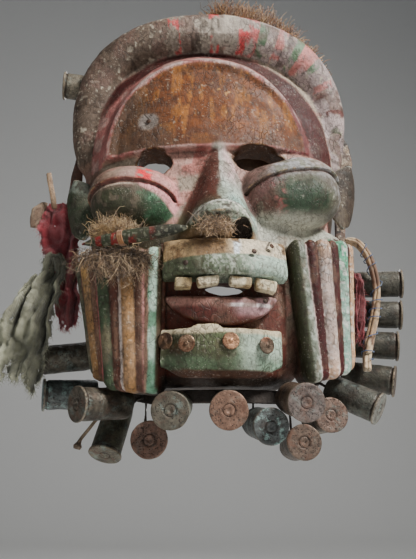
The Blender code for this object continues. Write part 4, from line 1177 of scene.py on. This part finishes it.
def cloth_material(name, threads):
    """Plain weave read from the cloth's own warp and weft attributes, faded and soiled."""
    mat, shader = new_material(name)
    w = Wiring(mat)
    warp = w.math('SINE', w.math('MULTIPLY', w.attribute("warp", "Fac"), threads), 0.0)
    weft = w.math('SINE', w.math('MULTIPLY', w.attribute("weft", "Fac"), threads), 0.0)
    weave = w.math('MULTIPLY', warp, weft)
    tone = w.math('ADD', w.span(w.noise(60, 5, 0.65), 0.3, 0.7, 0.55, 1.3), w.math('MULTIPLY', weave, 0.12))
    grey = w.node("ShaderNodeCombineColor")
    for socket in grey.inputs:
        w.link(tone, socket)
    colour = w.mix(1.0, w.attribute("paint"), grey.outputs[0], 'MULTIPLY')
    soil = w.span(w.noise(35, 5, 0.6), 0.52, 0.68, 0.0, 0.55)
    colour = w.mix(soil, colour, (0.045, 0.033, 0.022))
    w.link(colour, shader.inputs["Base Color"])
    w.link(w.span(w.noise(150, 3), 0.3, 0.7, 0.78, 0.95), shader.inputs["Roughness"])
    shader.inputs["Sheen Weight"].default_value = 0.2
    relief = w.math('ADD', w.math('MULTIPLY', weave, 0.5), w.noise(300, 4, 0.7))
    crease = w.math('ABSOLUTE', w.math('SUBTRACT', w.noise(85, 4, 0.55), 0.5), 0.0)
    relief = w.math('ADD', relief, w.math('MULTIPLY', crease, 14.0))
    w.link(w.bump(relief, 0.8, 0.0006), shader.inputs["Normal"])
    return mat


MATERIALS = {}


def finish_piece(obj, node, material, body="root"):
    """Material and body of a piece that stands for a CAD node."""
    obj.data.materials.clear()
    obj.data.materials.append(MATERIALS[material])
    if node:
        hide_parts(node)
    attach(obj, body)
    return obj


def fuller_stick(p, n):
    """The stick swells in its middle."""
    return p + 1.0 * n * ramp(p[:, 0], -88, -78)[:, None] * ramp(p[:, 0], -22, -34)[:, None]


def rounded_chin(p, n):
    """The chin block turns back and up at its lower corners, and a splinter stands on its top edge."""
    end = ramp(np.abs(p[:, 0] - 1.0), 22.0, 38.0)
    low = ramp(p[:, 2], -64.0, -80.5)
    p = p.copy()
    p[:, 1] += 5.0 * end * ramp(p[:, 1], -84.0, -92.0) + 4.0 * low * ramp(p[:, 1], -84.0, -94.0)
    p[:, 2] += 6.5 * end * low
    splinter = ramp(np.abs(p[:, 0] + 9.0), 10.0, 6.5) * ramp(p[:, 1], -88.0, -91.5)
    p[:, 2] += 2.6 * splinter * ramp(p[:, 2], -54.5, -52.5)
    return p


def leaning_tooth(tilt, taper):
    """A tooth cut by hand: it leans and narrows."""
    def shape(p, n):
        p = p.copy()
        middle = 0.5 * (p.min(axis=0) + p.max(axis=0))
        over = p - middle
        p[:, 2] += tilt * over[:, 0]
        p[:, 0] += taper * over[:, 0] * (over[:, 2] < 0) * over[:, 2] / -6.0
        return p
    return shape


SHAPED = {"nose_stick": fuller_stick, "chin_block": rounded_chin, "tooth_1": leaning_tooth(0.08, -0.10),
          "tooth_2": leaning_tooth(0.10, -0.16), "tooth_3": leaning_tooth(-0.06, -0.08),
          "tooth_4": leaning_tooth(-0.09, -0.14)}
COPPERS = [((0.085, 0.050, 0.032), (0.16, 0.09, 0.05)), ((0.30, 0.19, 0.12), (0.16, 0.08, 0.045)),
           ((0.50, 0.27, 0.15), (0.22, 0.11, 0.06)), ((0.27, 0.135, 0.085), (0.14, 0.10, 0.07))]

# node, grain of the mesh, rounding, dents, chips, material, slot, paint
CUT_PIECES = [
    ("upper_lip_block", 0.7, 5, 0.6, 0.9, "paint", "painted_wood", paint_lip_block),
    ("lower_lip", 0.7, 3, 0.4, 0.4, "paint", "lip_paint", paint_lower_lip),
    ("chin_block", 0.7, 7, 0.6, 1.2, "paint", "painted_wood", paint_chin),
    ("ear_left", 0.7, 3, 0.5, 0.8, "paint", "painted_wood", paint_ear),
    ("ear_right", 0.7, 3, 0.5, 0.8, "paint", "painted_wood", paint_ear),
    ("nose_stick", 0.5, 2, 0.5, 0.5, "paint", "painted_wood", paint_stick),
    ("edge_leather", 0.6, 2, 0.5, 0.8, "leather", "brown_leather",
     paint_plain((0.060, 0.032, 0.022), (0.11, 0.050, 0.032))),
    ("leather_tab", 0.6, 2, 0.4, 0.6, "leather", "brown_leather",
     paint_plain((0.25, 0.175, 0.115), (0.16, 0.10, 0.065))),
    ("leather_curl", 0.6, 2, 0.4, 0.5, "leather", "brown_leather",
     paint_plain((0.34, 0.225, 0.135), (0.20, 0.12, 0.07))),
    ("hide_flap", 0.6, 1, 0.9, 1.2, "leather", "brown_leather",
     paint_hide),
    # the jaw strap is painted near black and also stands for the shade beneath the chin
    ("jaw_strap", 0.6, 2, 0.4, 0.5, "leather", "dark_leather",
     paint_plain((0.030, 0.022, 0.017), (0.055, 0.036, 0.025))),
    ("hanging_lace", 0.4, 1, 0.2, 0.1, "leather", "brown_leather",
     paint_plain((0.27, 0.20, 0.13), (0.16, 0.11, 0.07))),
    ("brow_lining", 0.9, 3, 0.4, 0.0, "leather", "brown_leather",
     paint_plain((0.115, 0.070, 0.042), (0.070, 0.042, 0.027))),
    ("cane_lashing", 0.35, 0, 0.1, 0.0, "fibre", "blue_thread",
     paint_plain((0.045, 0.085, 0.200), (0.11, 0.15, 0.24))),
    ("stick_thread", 0.35, 0, 0.1, 0.0, "fibre", "plant_fibre",
     paint_plain((0.40, 0.16, 0.045), (0.22, 0.10, 0.04))),
]


def build_cut_pieces():
    pieces = list(CUT_PIECES)
    for k in range(4):
        pieces.append((f"tooth_{k + 1}", 0.5, 1, 0.40, 0.9, "paint", "tooth_wood", paint_tooth))
        pieces.append((f"chin_disc_{k + 1}", 0.3, 1, 0.12, 0.1, "copper", "disc_copper",
                       paint_plain(*COPPERS[k])))
    for k in range(5):
        pieces.append((f"nail_{k + 1}", 0.3, 1, 0.12, 0.1, "iron", "nail_iron",
                       paint_plain((0.075, 0.045, 0.032), (0.15, 0.075, 0.045))))
    for seed, (node, step, rounding, dents, chips, material, slot_name, paint) in enumerate(pieces):
        obj = closed_copy(f"worn_{node}", node, step)
        if node in SHAPED:
            move_points(obj, SHAPED[node](points_of(obj), normals_of(obj)))
        chip = wear_down(obj, rounding, dents, chips=chips, seed=100 + 7 * seed)
        colour = paint(surface_facts(obj))
        if material == "paint":
            p = points_of(obj)
            colour = crackle(lay(colour, 0.85 * chip, RAW_WOOD), p)
            colour = deepen(lay(colour, 0.7 * ramp(edge_curve(obj), -0.06, -0.3), DARK))
        set_colour(obj, colour)
        set_value(obj, "gloss", np.full(len(obj.data.vertices), 0.6 if node == "lower_lip" else 0.15))
        set_value(obj, "rust", np.full(len(obj.data.vertices), 0.8 if material == "iron" else 0.35))
        set_value(obj, "salts", np.zeros(len(obj.data.vertices)))
        finish_piece(obj, node, material)


# ------------------------------------------------------------------ brass cases

SHELL_LENGTH = 38.0
CROWN_LENGTH = 24.0
# profile of a case: radius, and distance from the mouth as a share of the body or back from the base
CASE_OUTSIDE = [(9.25, 0.0), (9.75, 0.25), (10.15, 0.8), (10.3, 2.0)]
CASE_REAR = [(10.3, 3.9), (10.25, 3.3), (9.75, 2.9), (9.7, 2.1), (10.2, 1.75), (11.15, 1.6), (11.25, 1.3),
             (11.25, 0.55), (11.1, 0.2), (10.7, 0.02), (9.6, 0.0), (8.2, 0.12), (6.6, 0.14), (5.1, 0.05),
             (3.75, 0.1), (3.6, 0.42), (3.4, 0.44), (3.25, 0.12), (2.9, 0.02), (2.2, 0.0), (1.6, 0.06),
             (1.2, 0.40), (0.7, 0.55), (0.02, 0.58)]
CASE_INSIDE = [(9.1, 0.05), (9.05, 1.5)]
CASE_SIDES = 56

# tint of the side, tint of the base, rust, green salts
CASE_LOOKS = {
    1: ((0.085, 0.08, 0.062), (0.11, 0.095, 0.07), 0.3, 0.1),
    2: ((0.075, 0.07, 0.055), (0.11, 0.095, 0.07), 0.3, 0.1),
    3: ((0.072, 0.068, 0.052), (0.12, 0.1, 0.075), 0.4, 0.1),
    4: ((0.07, 0.066, 0.05), (0.12, 0.1, 0.08), 0.4, 0.1),
    5: ((0.095, 0.095, 0.078), (0.25, 0.24, 0.205), 0.3, 0.3),
    6: ((0.2, 0.155, 0.11), (0.16, 0.105, 0.08), 0.7, 0.2),
    7: ((0.09, 0.07, 0.05), (0.125, 0.085, 0.062), 0.9, 0.1),
    8: ((0.155, 0.105, 0.072), (0.165, 0.13, 0.115), 0.7, 0.2),
    9: ((0.075, 0.075, 0.068), (0.09, 0.098, 0.095), 0.2, 0.9),
    10: ((0.3, 0.25, 0.19), (0.22, 0.125, 0.085), 0.9, 0.1),
    11: ((0.36, 0.36, 0.29), (0.105, 0.092, 0.068), 0.4, 0.3),
    12: ((0.12, 0.07, 0.048), (0.125, 0.072, 0.052), 0.9, 0.1),
    13: ((0.085, 0.082, 0.055), (0.11, 0.095, 0.065), 0.5, 0.3),
    14: ((0.1, 0.085, 0.062), (0.12, 0.1, 0.075), 0.6, 0.3),
    15: ((0.085, 0.1, 0.095), (0.11, 0.14, 0.145), 0.3, 0.9),
    16: ((0.1, 0.09, 0.068), (0.12, 0.105, 0.08), 0.4, 0.4),
    17: ((0.17, 0.145, 0.105), (0.22, 0.19, 0.15), 0.2, 0.2)}


def case_profile(length):
    """Radius and distance from the mouth, from the inside of the base round the mouth to the primer."""
    body = [(10.3, s) for s in np.arange(3.5, length - 4.4, 1.3)]
    outside = CASE_OUTSIDE + body + [(r, length - back) for r, back in CASE_REAR]
    inside = [(0.02, length - 4.4), (5.0, length - 4.5), (8.6, length - 5.2), (9.1, length - 6.5)]
    inside += [(9.1, s) for s in np.arange(length - 8.0, 2.0, -2.0)] + CASE_INSIDE[::-1]
    return np.array(inside + outside)


def build_case(name, mouth, direction, length, look, seed):
    profile = case_profile(length)
    direction = Vector(direction).normalized()
    side = direction.orthogonal().normalized()
    other = direction.cross(side)
    turn = 2 * math.pi * np.arange(CASE_SIDES) / CASE_SIDES
    around = np.tile(turn, len(profile))
    radius = np.repeat(profile[:, 0], CASE_SIDES)
    along = np.repeat(profile[:, 1], CASE_SIDES)
    unit = np.cos(around)[:, None] * np.array(side) + np.sin(around)[:, None] * np.array(other)
    unit_noise = unit * 6.0 + along[:, None] * np.array(direction)
    dent = 0.55 * (fractal(unit_noise, 6.5, 2, seed) - 0.5) * ramp(radius, 3, 9)
    dent = dent * ramp(along, length - 2.2, length - 5)
    lobes = 0.55 * np.sin(2 * around + seed) + 0.25 * np.sin(5 * around + 2 * seed) - 0.3
    ragged = ramp(along, 5.0, 0.0) * lobes
    nicks = 0.35 * (noise(unit_noise, 2.2, seed + 5) - 0.5) * ramp(radius, 10.8, 11.2)
    reach = radius + dent + ragged + nicks
    points = np.array(mouth) + along[:, None] * np.array(direction) + unit * reach[:, None]
    points += np.array(direction) * (ramp(along, 1.5, 0.0) * 0.8 * noise(unit_noise, 3.0, seed + 9))[:, None]
    rows = len(profile)
    index = np.arange(rows * CASE_SIDES).reshape(rows, CASE_SIDES)
    ahead = np.roll(index, -1, axis=1)
    faces = np.stack([index[:-1], ahead[:-1], ahead[1:], index[1:]], axis=-1).reshape(-1, 4).tolist()
    faces.append(index[0][::-1].tolist())
    faces.append(index[-1].tolist())
    obj = mesh_object(name, points, faces)
    fix_normals(obj)
    first = (len(profile) - len(CASE_REAR)) * CASE_SIDES
    base = ramp(along, length - 1.0, length - 0.4) * (np.arange(len(along)) >= first)
    patchy = fractal(unit_noise + seed * 7.0, 7.0, 3, 71)
    colour = np.tile(np.array(look[0]), (len(points), 1))
    colour = lay(colour, ramp(patchy, 0.50, 0.62), np.array(look[0]) * 0.55)
    colour = lay(colour, base, look[1])
    colour = lay(colour, 0.5 * base * ramp(np.abs(radius - 3.5), 0.45, 0.15), DARK)
    colour = lay(colour, ramp(np.abs(along - (length - 2.6)), 0.8, 0.3), DARK)
    colour = lay(colour, ramp(radius, 11.0, 11.2) * 0.6, (0.24, 0.19, 0.13))
    inner = np.arange(len(along)) < 4 * CASE_SIDES
    colour = lay(colour, inner.astype(float), (0.02, 0.018, 0.015))
    set_colour(obj, colour)
    set_value(obj, "rust", look[2] * (0.45 + 0.55 * base))
    set_value(obj, "salts", look[3] * (0.5 + 0.5 * ramp(along, length - 6, length - 1)))
    return obj


def fix_normals(obj):
    made = bmesh.new()
    made.from_mesh(obj.data)
    bmesh.ops.recalc_face_normals(made, faces=made.faces)
    made.to_mesh(obj.data)
    made.free()
    obj.data.shade_smooth()


def build_cases():
    swings = {joint["child"]: joint for joint in frame["joints"]}
    for k in range(1, 17):
        node = f"shell_{k:02d}"
        mouth = np.array(swings[node]["pos_m"]) / MM
        direction = points_of(frame["nodes"][node]).mean(0) - mouth
        obj = build_case(f"case_{k:02d}", mouth, direction, SHELL_LENGTH, CASE_LOOKS[k], 200 + 13 * k)
        finish_piece(obj, node, "brass", node)
    mouth = np.array((-100.0, -20.0, 164.0))
    turn, lift = math.radians(-82), math.radians(2)
    direction = (math.sin(turn) * math.cos(lift), -math.cos(turn) * math.cos(lift), math.sin(lift))
    obj = build_case("case_crown", mouth, direction, CROWN_LENGTH, CASE_LOOKS[17], 501)
    finish_piece(obj, "crown_shell", "brass")


# ------------------------------------------------------------------ fibre

def strands(name, roots, aims, lengths, width, curl, droop, tints, steps=6):
    """Thin tapered strands. Each starts at its root, aims one way, curls and droops."""
    count = len(roots)
    t = np.linspace(0, 1, steps)
    aims = aims / np.linalg.norm(aims, axis=1)[:, None]
    line = roots[:, None] + aims[:, None] * (lengths[:, None] * t)[:, :, None]
    for axis in range(3):
        phase = rng.random((count, 2)) * 6.28
        sway = np.sin(phase[:, :1] + 5.0 * t) - np.sin(phase[:, :1])
        sway += 0.6 * (np.sin(phase[:, 1:] + 10.0 * t) - np.sin(phase[:, 1:]))
        line[:, :, axis] += curl * lengths[:, None] * t * sway * 0.5
    line[:, :, 2] -= droop * lengths[:, None] * t ** 2
    ahead = np.gradient(line, axis=1)
    ahead /= np.linalg.norm(ahead, axis=2)[:, :, None] + 1e-9
    side = np.cross(ahead, np.array((0.3, 0.9, 0.2)))
    side /= np.linalg.norm(side, axis=2)[:, :, None] + 1e-9
    other = np.cross(ahead, side)
    taper = width * (1.0 - 0.65 * t)[None, :, None, None]
    turn = 2 * math.pi * np.arange(3) / 3
    around = np.cos(turn)[:, None] * side[:, :, None] + np.sin(turn)[:, None] * other[:, :, None]
    ring = line[:, :, None] + taper * around
    points = ring.reshape(-1, 3)
    index = np.arange(count * steps * 3).reshape(count, steps, 3)
    nxt = np.roll(index, -1, axis=2)
    quads = np.stack([index[:, :-1], nxt[:, :-1], nxt[:, 1:], index[:, 1:]], axis=-1).reshape(-1, 4)
    obj = mesh_object(name, points, quads)
    pick = tints[rng.integers(0, len(tints), count)] * (0.7 + 0.6 * rng.random((count, 1)))
    set_colour(obj, np.repeat(pick, steps * 3, axis=0))
    return obj


def spread(count, scale):
    return rng.normal(size=(count, 3)) * np.array(scale)


FIBRE_TINTS = np.array([(0.38, 0.18, 0.065), (0.24, 0.10, 0.036), (0.52, 0.33, 0.16), (0.13, 0.055, 0.022)])
TUFT_TINTS = np.array([(0.50, 0.33, 0.14), (0.33, 0.19, 0.075), (0.66, 0.49, 0.27), (0.17, 0.095, 0.045)])
DULL_TINTS = np.array([(0.25, 0.155, 0.080), (0.14, 0.080, 0.042), (0.38, 0.27, 0.16),
                       (0.075, 0.045, 0.026)])
CROWN_LINE = [(4, -42, 215), (24, -41, 219), (44, -38, 218), (64, -33, 210), (82, -27, 197), (93, -22, 182)]


def build_crown_fibre():
    line = smooth_line(CROWN_LINE, 12)
    count = 8500
    share = rng.random(count) ** 1.25
    spot = line[(share * (len(line) - 1)).astype(int)]
    outward = spot - np.array((0, -42, 120.0))
    outward[:, 1] = 0
    outward /= np.linalg.norm(outward, axis=1)[:, None]
    clump = ramp(np.sin(share * 34.0) + rng.normal(size=count) * 0.5, -1.0, 0.6)
    roots = spot - outward * 5.0 + spread(count, (2.6, 3.0, 1.6))
    aims = outward + spread(count, (0.55, 0.50, 0.45)) * 0.9
    lengths = (7.0 + 15.0 * rng.random(count)) * (1.0 - 0.50 * share) * (0.45 + 0.55 * clump)
    obj = strands("crown_coir", roots, aims, lengths + 3.0, 0.50, 0.24, 0.05, FIBRE_TINTS)
    finish_piece(obj, "crown_fibre", "fibre")


def build_tufts():
    count = 1900
    centre = np.array((-67.0, -82.0, 11.0))
    roots = centre + spread(count, (4.5, 1.6, 1.6))
    aims = np.array((-0.25, -0.1, 0.75)) + spread(count, (0.9, 0.40, 0.50))
    obj = strands("tuft_gold", roots, aims, 4.5 + 7.0 * rng.random(count), 0.24, 0.55, 0.15, TUFT_TINTS)
    finish_piece(obj, "tuft_upper", "fibre")
    count = 1500
    centre = np.array((-66.0, -88.5, -3.5))
    roots = centre + spread(count, (8.5, 0.9, 1.6))
    aims = np.array((0.0, -0.10, -0.85)) + spread(count, (0.85, 0.16, 0.4))
    obj = strands("tuft_dull", roots, aims, 5.0 + 10.5 * rng.random(count), 0.27, 0.50, 0.10, DULL_TINTS)
    finish_piece(obj, "tuft_lower", "fibre")
    count = 420
    roots = np.array((-5.0, -103.0, 12.0)) + spread(count, (5.5, 1.2, 2.4))
    aims = np.array((0.1, -0.35, -0.25)) + spread(count, (0.9, 0.3, 0.8))
    obj = strands("nose_fibre", roots, aims, 3.0 + 5.0 * rng.random(count), 0.20, 0.4, 0.1, DULL_TINTS * 1.5)
    finish_piece(obj, None, "fibre")


# ------------------------------------------------------------------ rags

GREEN_CLOTH = [(-117, -33, 14, 5, 4), (-118, -35, 4, 8, 6), (-123, -38, -16, 12, 7), (-129, -40, -40, 17, 7),
               (-132, -41, -64, 20, 7), (-131, -42, -82, 17, 5)]
RED_LEFT = [(-121, -15, 62, 8, 2.5), (-120, -17, 46, 14, 4), (-117, -19, 22, 13, 5), (-111, -20, -6, 9, 5),
            (-108, -20, -26, 11, 6), (-107, -19, -42, 7, 4)]
RED_RIGHT = [(109, -36, 2, 3, 3), (109, -36, -15, 4, 4), (107, -36, -32, 4, 3.5), (105, -36, -49, 2.5, 3)]


def wander_over(u, v, folds):
    """Points over a rag, longer down it than across, for creases that run with the folds."""
    across, down = np.meshgrid(2.2 * u * folds, 1.6 * v + 0.5 * u.max(), indexing="xy")
    return np.stack([across + 0.8 * down, down, np.zeros_like(down)], axis=-1).reshape(-1, 3)


def cloth_grid(sections, folds, fullness, rows, columns, seed, turn=(1.0, 0.12)):
    """Rows of points down a hanging rag, gathered into folds inside its CAD space."""
    line = smooth_line(sections, 10)
    at = np.linspace(0, len(line) - 1, rows)
    centre = np.array([[np.interp(v, np.arange(len(line)), line[:, a]) for a in range(5)] for v in at])
    u = np.linspace(-1, 1, columns)
    v = np.linspace(0, 1, rows)
    lean = 0.5 * np.sin(2.6 * v + seed)[:, None] + 0.25 * np.sin(6.1 * v + 2 * seed)[:, None]
    phase = folds * (u[None] + 0.22 * np.sin(3.1 * u[None] + seed)) + lean
    fold = 2.0 * np.abs(2.0 * (phase - np.floor(phase)) - 1.0) - 1.0
    pleat = 1.0 - 5.0 * np.abs(noise(wander_over(u, v, folds), 0.7, seed) - 0.5).reshape(rows, columns)
    grid = np.zeros((rows, columns, 3))
    depth = centre[:, 4][:, None] * (0.62 * fold + 0.42 * pleat) * fullness
    shift = 0.13 * centre[:, 3][:, None] * np.sin(2.0 * folds * u[None] + 3 * v[:, None])
    across = u[None] * centre[:, 3][:, None] + shift
    grid[..., 0] = centre[:, 0][:, None] + across * turn[0]
    grid[..., 1] = centre[:, 1][:, None] + depth + across * turn[1]
    hem = 3.5 * np.sin(3.0 * u + seed) + 2.5 * np.sin(8.0 * u + 2 * seed)
    grid[..., 2] = centre[:, 2][:, None] + hem[None] * v[:, None] ** 2
    grid[..., 1] -= 0.5 * centre[:, 4][:, None] * ramp(np.abs(v - 0.13), 0.07, 0.01)[:, None]
    return grid


def build_rag(name, node, sections, folds, tint, spot, material, size, seed):
    rows, columns = size
    grid = cloth_grid(sections, folds, 1.0, rows, columns, seed)
    flat = grid.reshape(-1, 3)
    crumple = np.abs(noise(flat, 17.0, seed + 60) - 0.5) + 0.5 * np.abs(noise(flat, 8.0, seed + 61) - 0.5)
    crumple += 0.25 * np.abs(noise(flat, 4.0, seed + 62) - 0.5)
    deep = min(1.0, max(row[4] for row in sections) / 7.0)
    flat = flat + deep * (crumple[:, None] * np.array((3.0, 16.0, 3.0)) - np.array((0.5, 2.8, 0.4)))
    step_across = np.linalg.norm(np.diff(grid, axis=1), axis=2).mean()
    step_down = np.linalg.norm(np.diff(grid, axis=0), axis=2).mean()
    index = np.arange(rows * columns).reshape(rows, columns)
    quads = np.stack([index[:-1, :-1], index[:-1, 1:], index[1:, 1:], index[1:, :-1]], axis=-1)
    quads = quads.reshape(-1, 4)
    v = np.repeat(np.linspace(0, 1, rows - 1), columns - 1)
    u = np.abs(np.tile(np.linspace(-1, 1, columns - 1), rows - 1))
    tatter = fractal(flat[quads[:, 0]] + 31.0, (3.0, 9.0, 5.0), 3, seed + 5)
    keep = (tatter + 0.46 * ramp(v, 0.76, 1.0) + 0.34 * ramp(u, 0.82, 1.0)) < 0.82
    obj = mesh_object(name, flat, quads[keep])
    made = bmesh.new()
    made.from_mesh(obj.data)
    loose = [vert for vert in made.verts if not vert.link_faces]
    bmesh.ops.delete(made, geom=loose, context='VERTS')
    edge = [tuple(vert.co) for vert in made.verts if vert.is_boundary]
    made.to_mesh(obj.data)
    made.free()
    used = np.zeros(len(flat), bool)
    used[quads[keep].ravel()] = True
    down = np.repeat(np.arange(rows), columns) * step_down
    over = np.tile(np.arange(columns), rows) * step_across
    set_value(obj, "warp", over[used])
    set_value(obj, "weft", down[used])
    patchy = fractal(flat[used], 12.0, 3, seed + 7)
    colour = lay(np.tile(np.array(tint), (int(used.sum()), 1)), ramp(patchy, 0.46, 0.60), spot)
    height = (grid.reshape(-1, 3)[used, 1] - np.repeat(grid[:, :, 1].mean(axis=1), columns)[used]) / 5.0
    # fold crests that stand forward are painted lighter as a painted highlight, and hollows that lie back
    # are painted darker as painted shade
    colour = lay(colour, 0.60 * ramp(height, -0.25, -0.75), np.array(spot) * 1.6)
    colour = lay(colour, 0.75 * ramp(height, 0.1, 0.8), np.array(tint) * 0.30)
    set_colour(obj, colour)
    thicken(obj, 0.7)
    frayed = np.array(edge) / MM
    pick = frayed[rng.integers(0, len(frayed), int(1.6 * len(frayed)))]
    aims = np.array((0.0, 0.0, -0.9)) + spread(len(pick), (0.6, 0.4, 0.6))
    fringe = strands(f"{name}_threads", pick + spread(len(pick), (0.3, 0.3, 0.3)), aims,
                     1.0 + 3.2 * rng.random(len(pick)), 0.15, 0.35, 0.2,
                     np.array([tint, spot]) * 1.3, steps=5)
    finish_piece(fringe, None, "fibre")
    finish_piece(obj, node, material)


def thicken(obj, thickness):
    """Gives a sheet its thickness in the mesh itself."""
    solid = obj.modifiers.new("thickness", 'SOLIDIFY')
    solid.thickness = thickness * MM
    solid.offset = 0.0
    graph = bpy.context.evaluated_depsgraph_get()
    obj.data = bpy.data.meshes.new_from_object(obj.evaluated_get(graph))
    obj.modifiers.clear()
    obj.data.shade_smooth()


def build_rags():
    build_rag("rag_green", "green_cloth", GREEN_CLOTH, 1.25, (0.135, 0.135, 0.088), (0.25, 0.25, 0.175),
              "canvas", (120, 90), 3)
    build_rag("rag_red_left", "red_cloth_left", RED_LEFT, 0.9, (0.28, 0.024, 0.034), (0.34, 0.070, 0.078),
              "red", (90, 40), 5)
    build_rag("rag_red_right", "red_cloth_right", RED_RIGHT, 0.7, (0.17, 0.014, 0.020), (0.26, 0.030, 0.036),
              "red", (50, 22), 8)


# ------------------------------------------------------------------ cane

CANE_LINE = [(106, -26, 32), (113, -31, 28), (120, -33, 15), (124, -33, -6), (121, -33, -26),
             (116, -34, -44), (111, -36, -60), (109, -40, -70)]


def build_cane():
    line = smooth_line(CANE_LINE, 10)
    ahead = np.gradient(line, axis=0)
    ahead /= np.linalg.norm(ahead, axis=1)[:, None]
    side = np.cross(ahead, (0.0, 1.0, 0.0))
    side /= np.linalg.norm(side, axis=1)[:, None]
    other = np.cross(ahead, side)
    lines, radii = [], []
    for k in range(4):
        angle = 2 * math.pi * k / 4 + np.linspace(0, 2.6, len(line))
        reach = 1.85 + 0.15 * np.sin(np.linspace(0, 9, len(line)) + k)
        turned = np.cos(angle)[:, None] * side + np.sin(angle)[:, None] * other
        lines.append(line + reach[:, None] * turned)
        radii.append(np.full(len(line), 1.45) + 0.12 * np.sin(np.linspace(0, 25, len(line)) + 2 * k))
    points, faces = tubes(lines, radii, 9)
    obj = mesh_object("cane_strips", points, faces)
    facts = surface_facts(obj)
    colour = lay(flat_tint(facts, (0.34, 0.22, 0.12)), ramp(facts["patchy"], 0.46, 0.6), (0.50, 0.38, 0.24))
    colour = lay(colour, ramp(facts["streak"], 0.56, 0.64), (0.13, 0.065, 0.035))
    set_colour(obj, colour)
    finish_piece(obj, "cane_hoop", "fibre")


def build_materials():
    MATERIALS["paint"] = painted_wood_material()
    MATERIALS["brass"] = aged_metal_material("tarnished_brass", 0.45, 0.52, 700)
    MATERIALS["copper"] = aged_metal_material("worn_copper", 0.75, 0.42, 900)
    MATERIALS["iron"] = aged_metal_material("rusty_iron", 0.4, 0.6, 1100)
    MATERIALS["leather"] = leather_material("old_leather")
    MATERIALS["fibre"] = fibre_material("dry_fibre")
    MATERIALS["canvas"] = cloth_material("olive_canvas", 5.2)
    MATERIALS["red"] = cloth_material("red_cotton", 7.5)


# ------------------------------------------------------------------ stage, light and camera

def build_stage():
    def plain(name, shade, rough):
        mat, shader = new_material(name)
        shader.inputs["Base Color"].default_value = (shade, shade, shade * 0.985, 1.0)
        shader.inputs["Roughness"].default_value = rough
        return mat
    profile = [(-5000.0, -620.0), (2200.0, -620.0)]
    for k in range(1, 17):
        angle = math.radians(90.0 * k / 16)
        profile.append((2200.0 + 900.0 * math.sin(angle), 280.0 - 900.0 * math.cos(angle)))
    profile.append((3100.0, 5000.0))
    points = [(side * 6000.0, y, z) for y, z in profile for side in (-1, 1)]
    faces = [(2 * k, 2 * k + 1, 2 * k + 3, 2 * k + 2) for k in range(len(profile) - 1)]
    floor = mesh_object("stage_floor", points, faces)
    floor.data.materials.append(plain("stage_floor", 0.78, 0.85))
    world = bpy.data.worlds.new("studio")
    world.use_nodes = True
    world.node_tree.nodes["Background"].inputs[0].default_value = (0.56, 0.58, 0.60, 1.0)
    world.node_tree.nodes["Background"].inputs[1].default_value = 0.22
    bpy.context.scene.world = world


def add_light(name, place, target, size, watts, tint=(1, 1, 1)):
    data = bpy.data.lights.new(name, 'AREA')
    data.size = size
    data.energy = watts
    data.color = tint
    lamp = bpy.data.objects.new(name, data)
    lamp.location = place
    lamp.rotation_euler = (Vector(target) - Vector(place)).to_track_quat('-Z', 'Y').to_euler()
    bpy.context.scene.collection.objects.link(lamp)


def build_lights():
    middle = (0.0, -0.05, 0.06)
    add_light("key", (0.80, -0.90, 1.05), middle, 0.34, 52, (1.0, 0.985, 0.96))
    add_light("fill", (-1.2, -1.1, 0.1), middle, 1.6, 3.2, (0.92, 0.96, 1.0))
    add_light("below", (0.25, -0.9, -0.50), middle, 0.9, 2.2)
    add_light("rim", (0.3, 1.2, 0.8), middle, 1.0, 16)


def build_camera():
    data = bpy.data.cameras.new("camera")
    data.lens = 33.49
    data.sensor_width = 36.0
    camera = bpy.data.objects.new("camera", data)
    camera.location = (-0.0298, -0.403, -0.110)
    view = Vector((0.0671, 0.9589, 0.2756))
    camera.rotation_mode = 'QUATERNION'
    camera.rotation_quaternion = view.to_track_quat('-Z', 'Y')
    bpy.context.scene.collection.objects.link(camera)
    bpy.context.scene.camera = camera


def main():
    build_camera()
    build_stage()
    build_lights()
    build_materials()
    face = carve_face()
    carve_texture(face)
    paint_face(face)
    finish_piece(face, "face_carving", "paint")
    build_cut_pieces()
    build_cases()
    build_crown_fibre()
    build_tufts()
    build_rags()
    build_cane()


main()
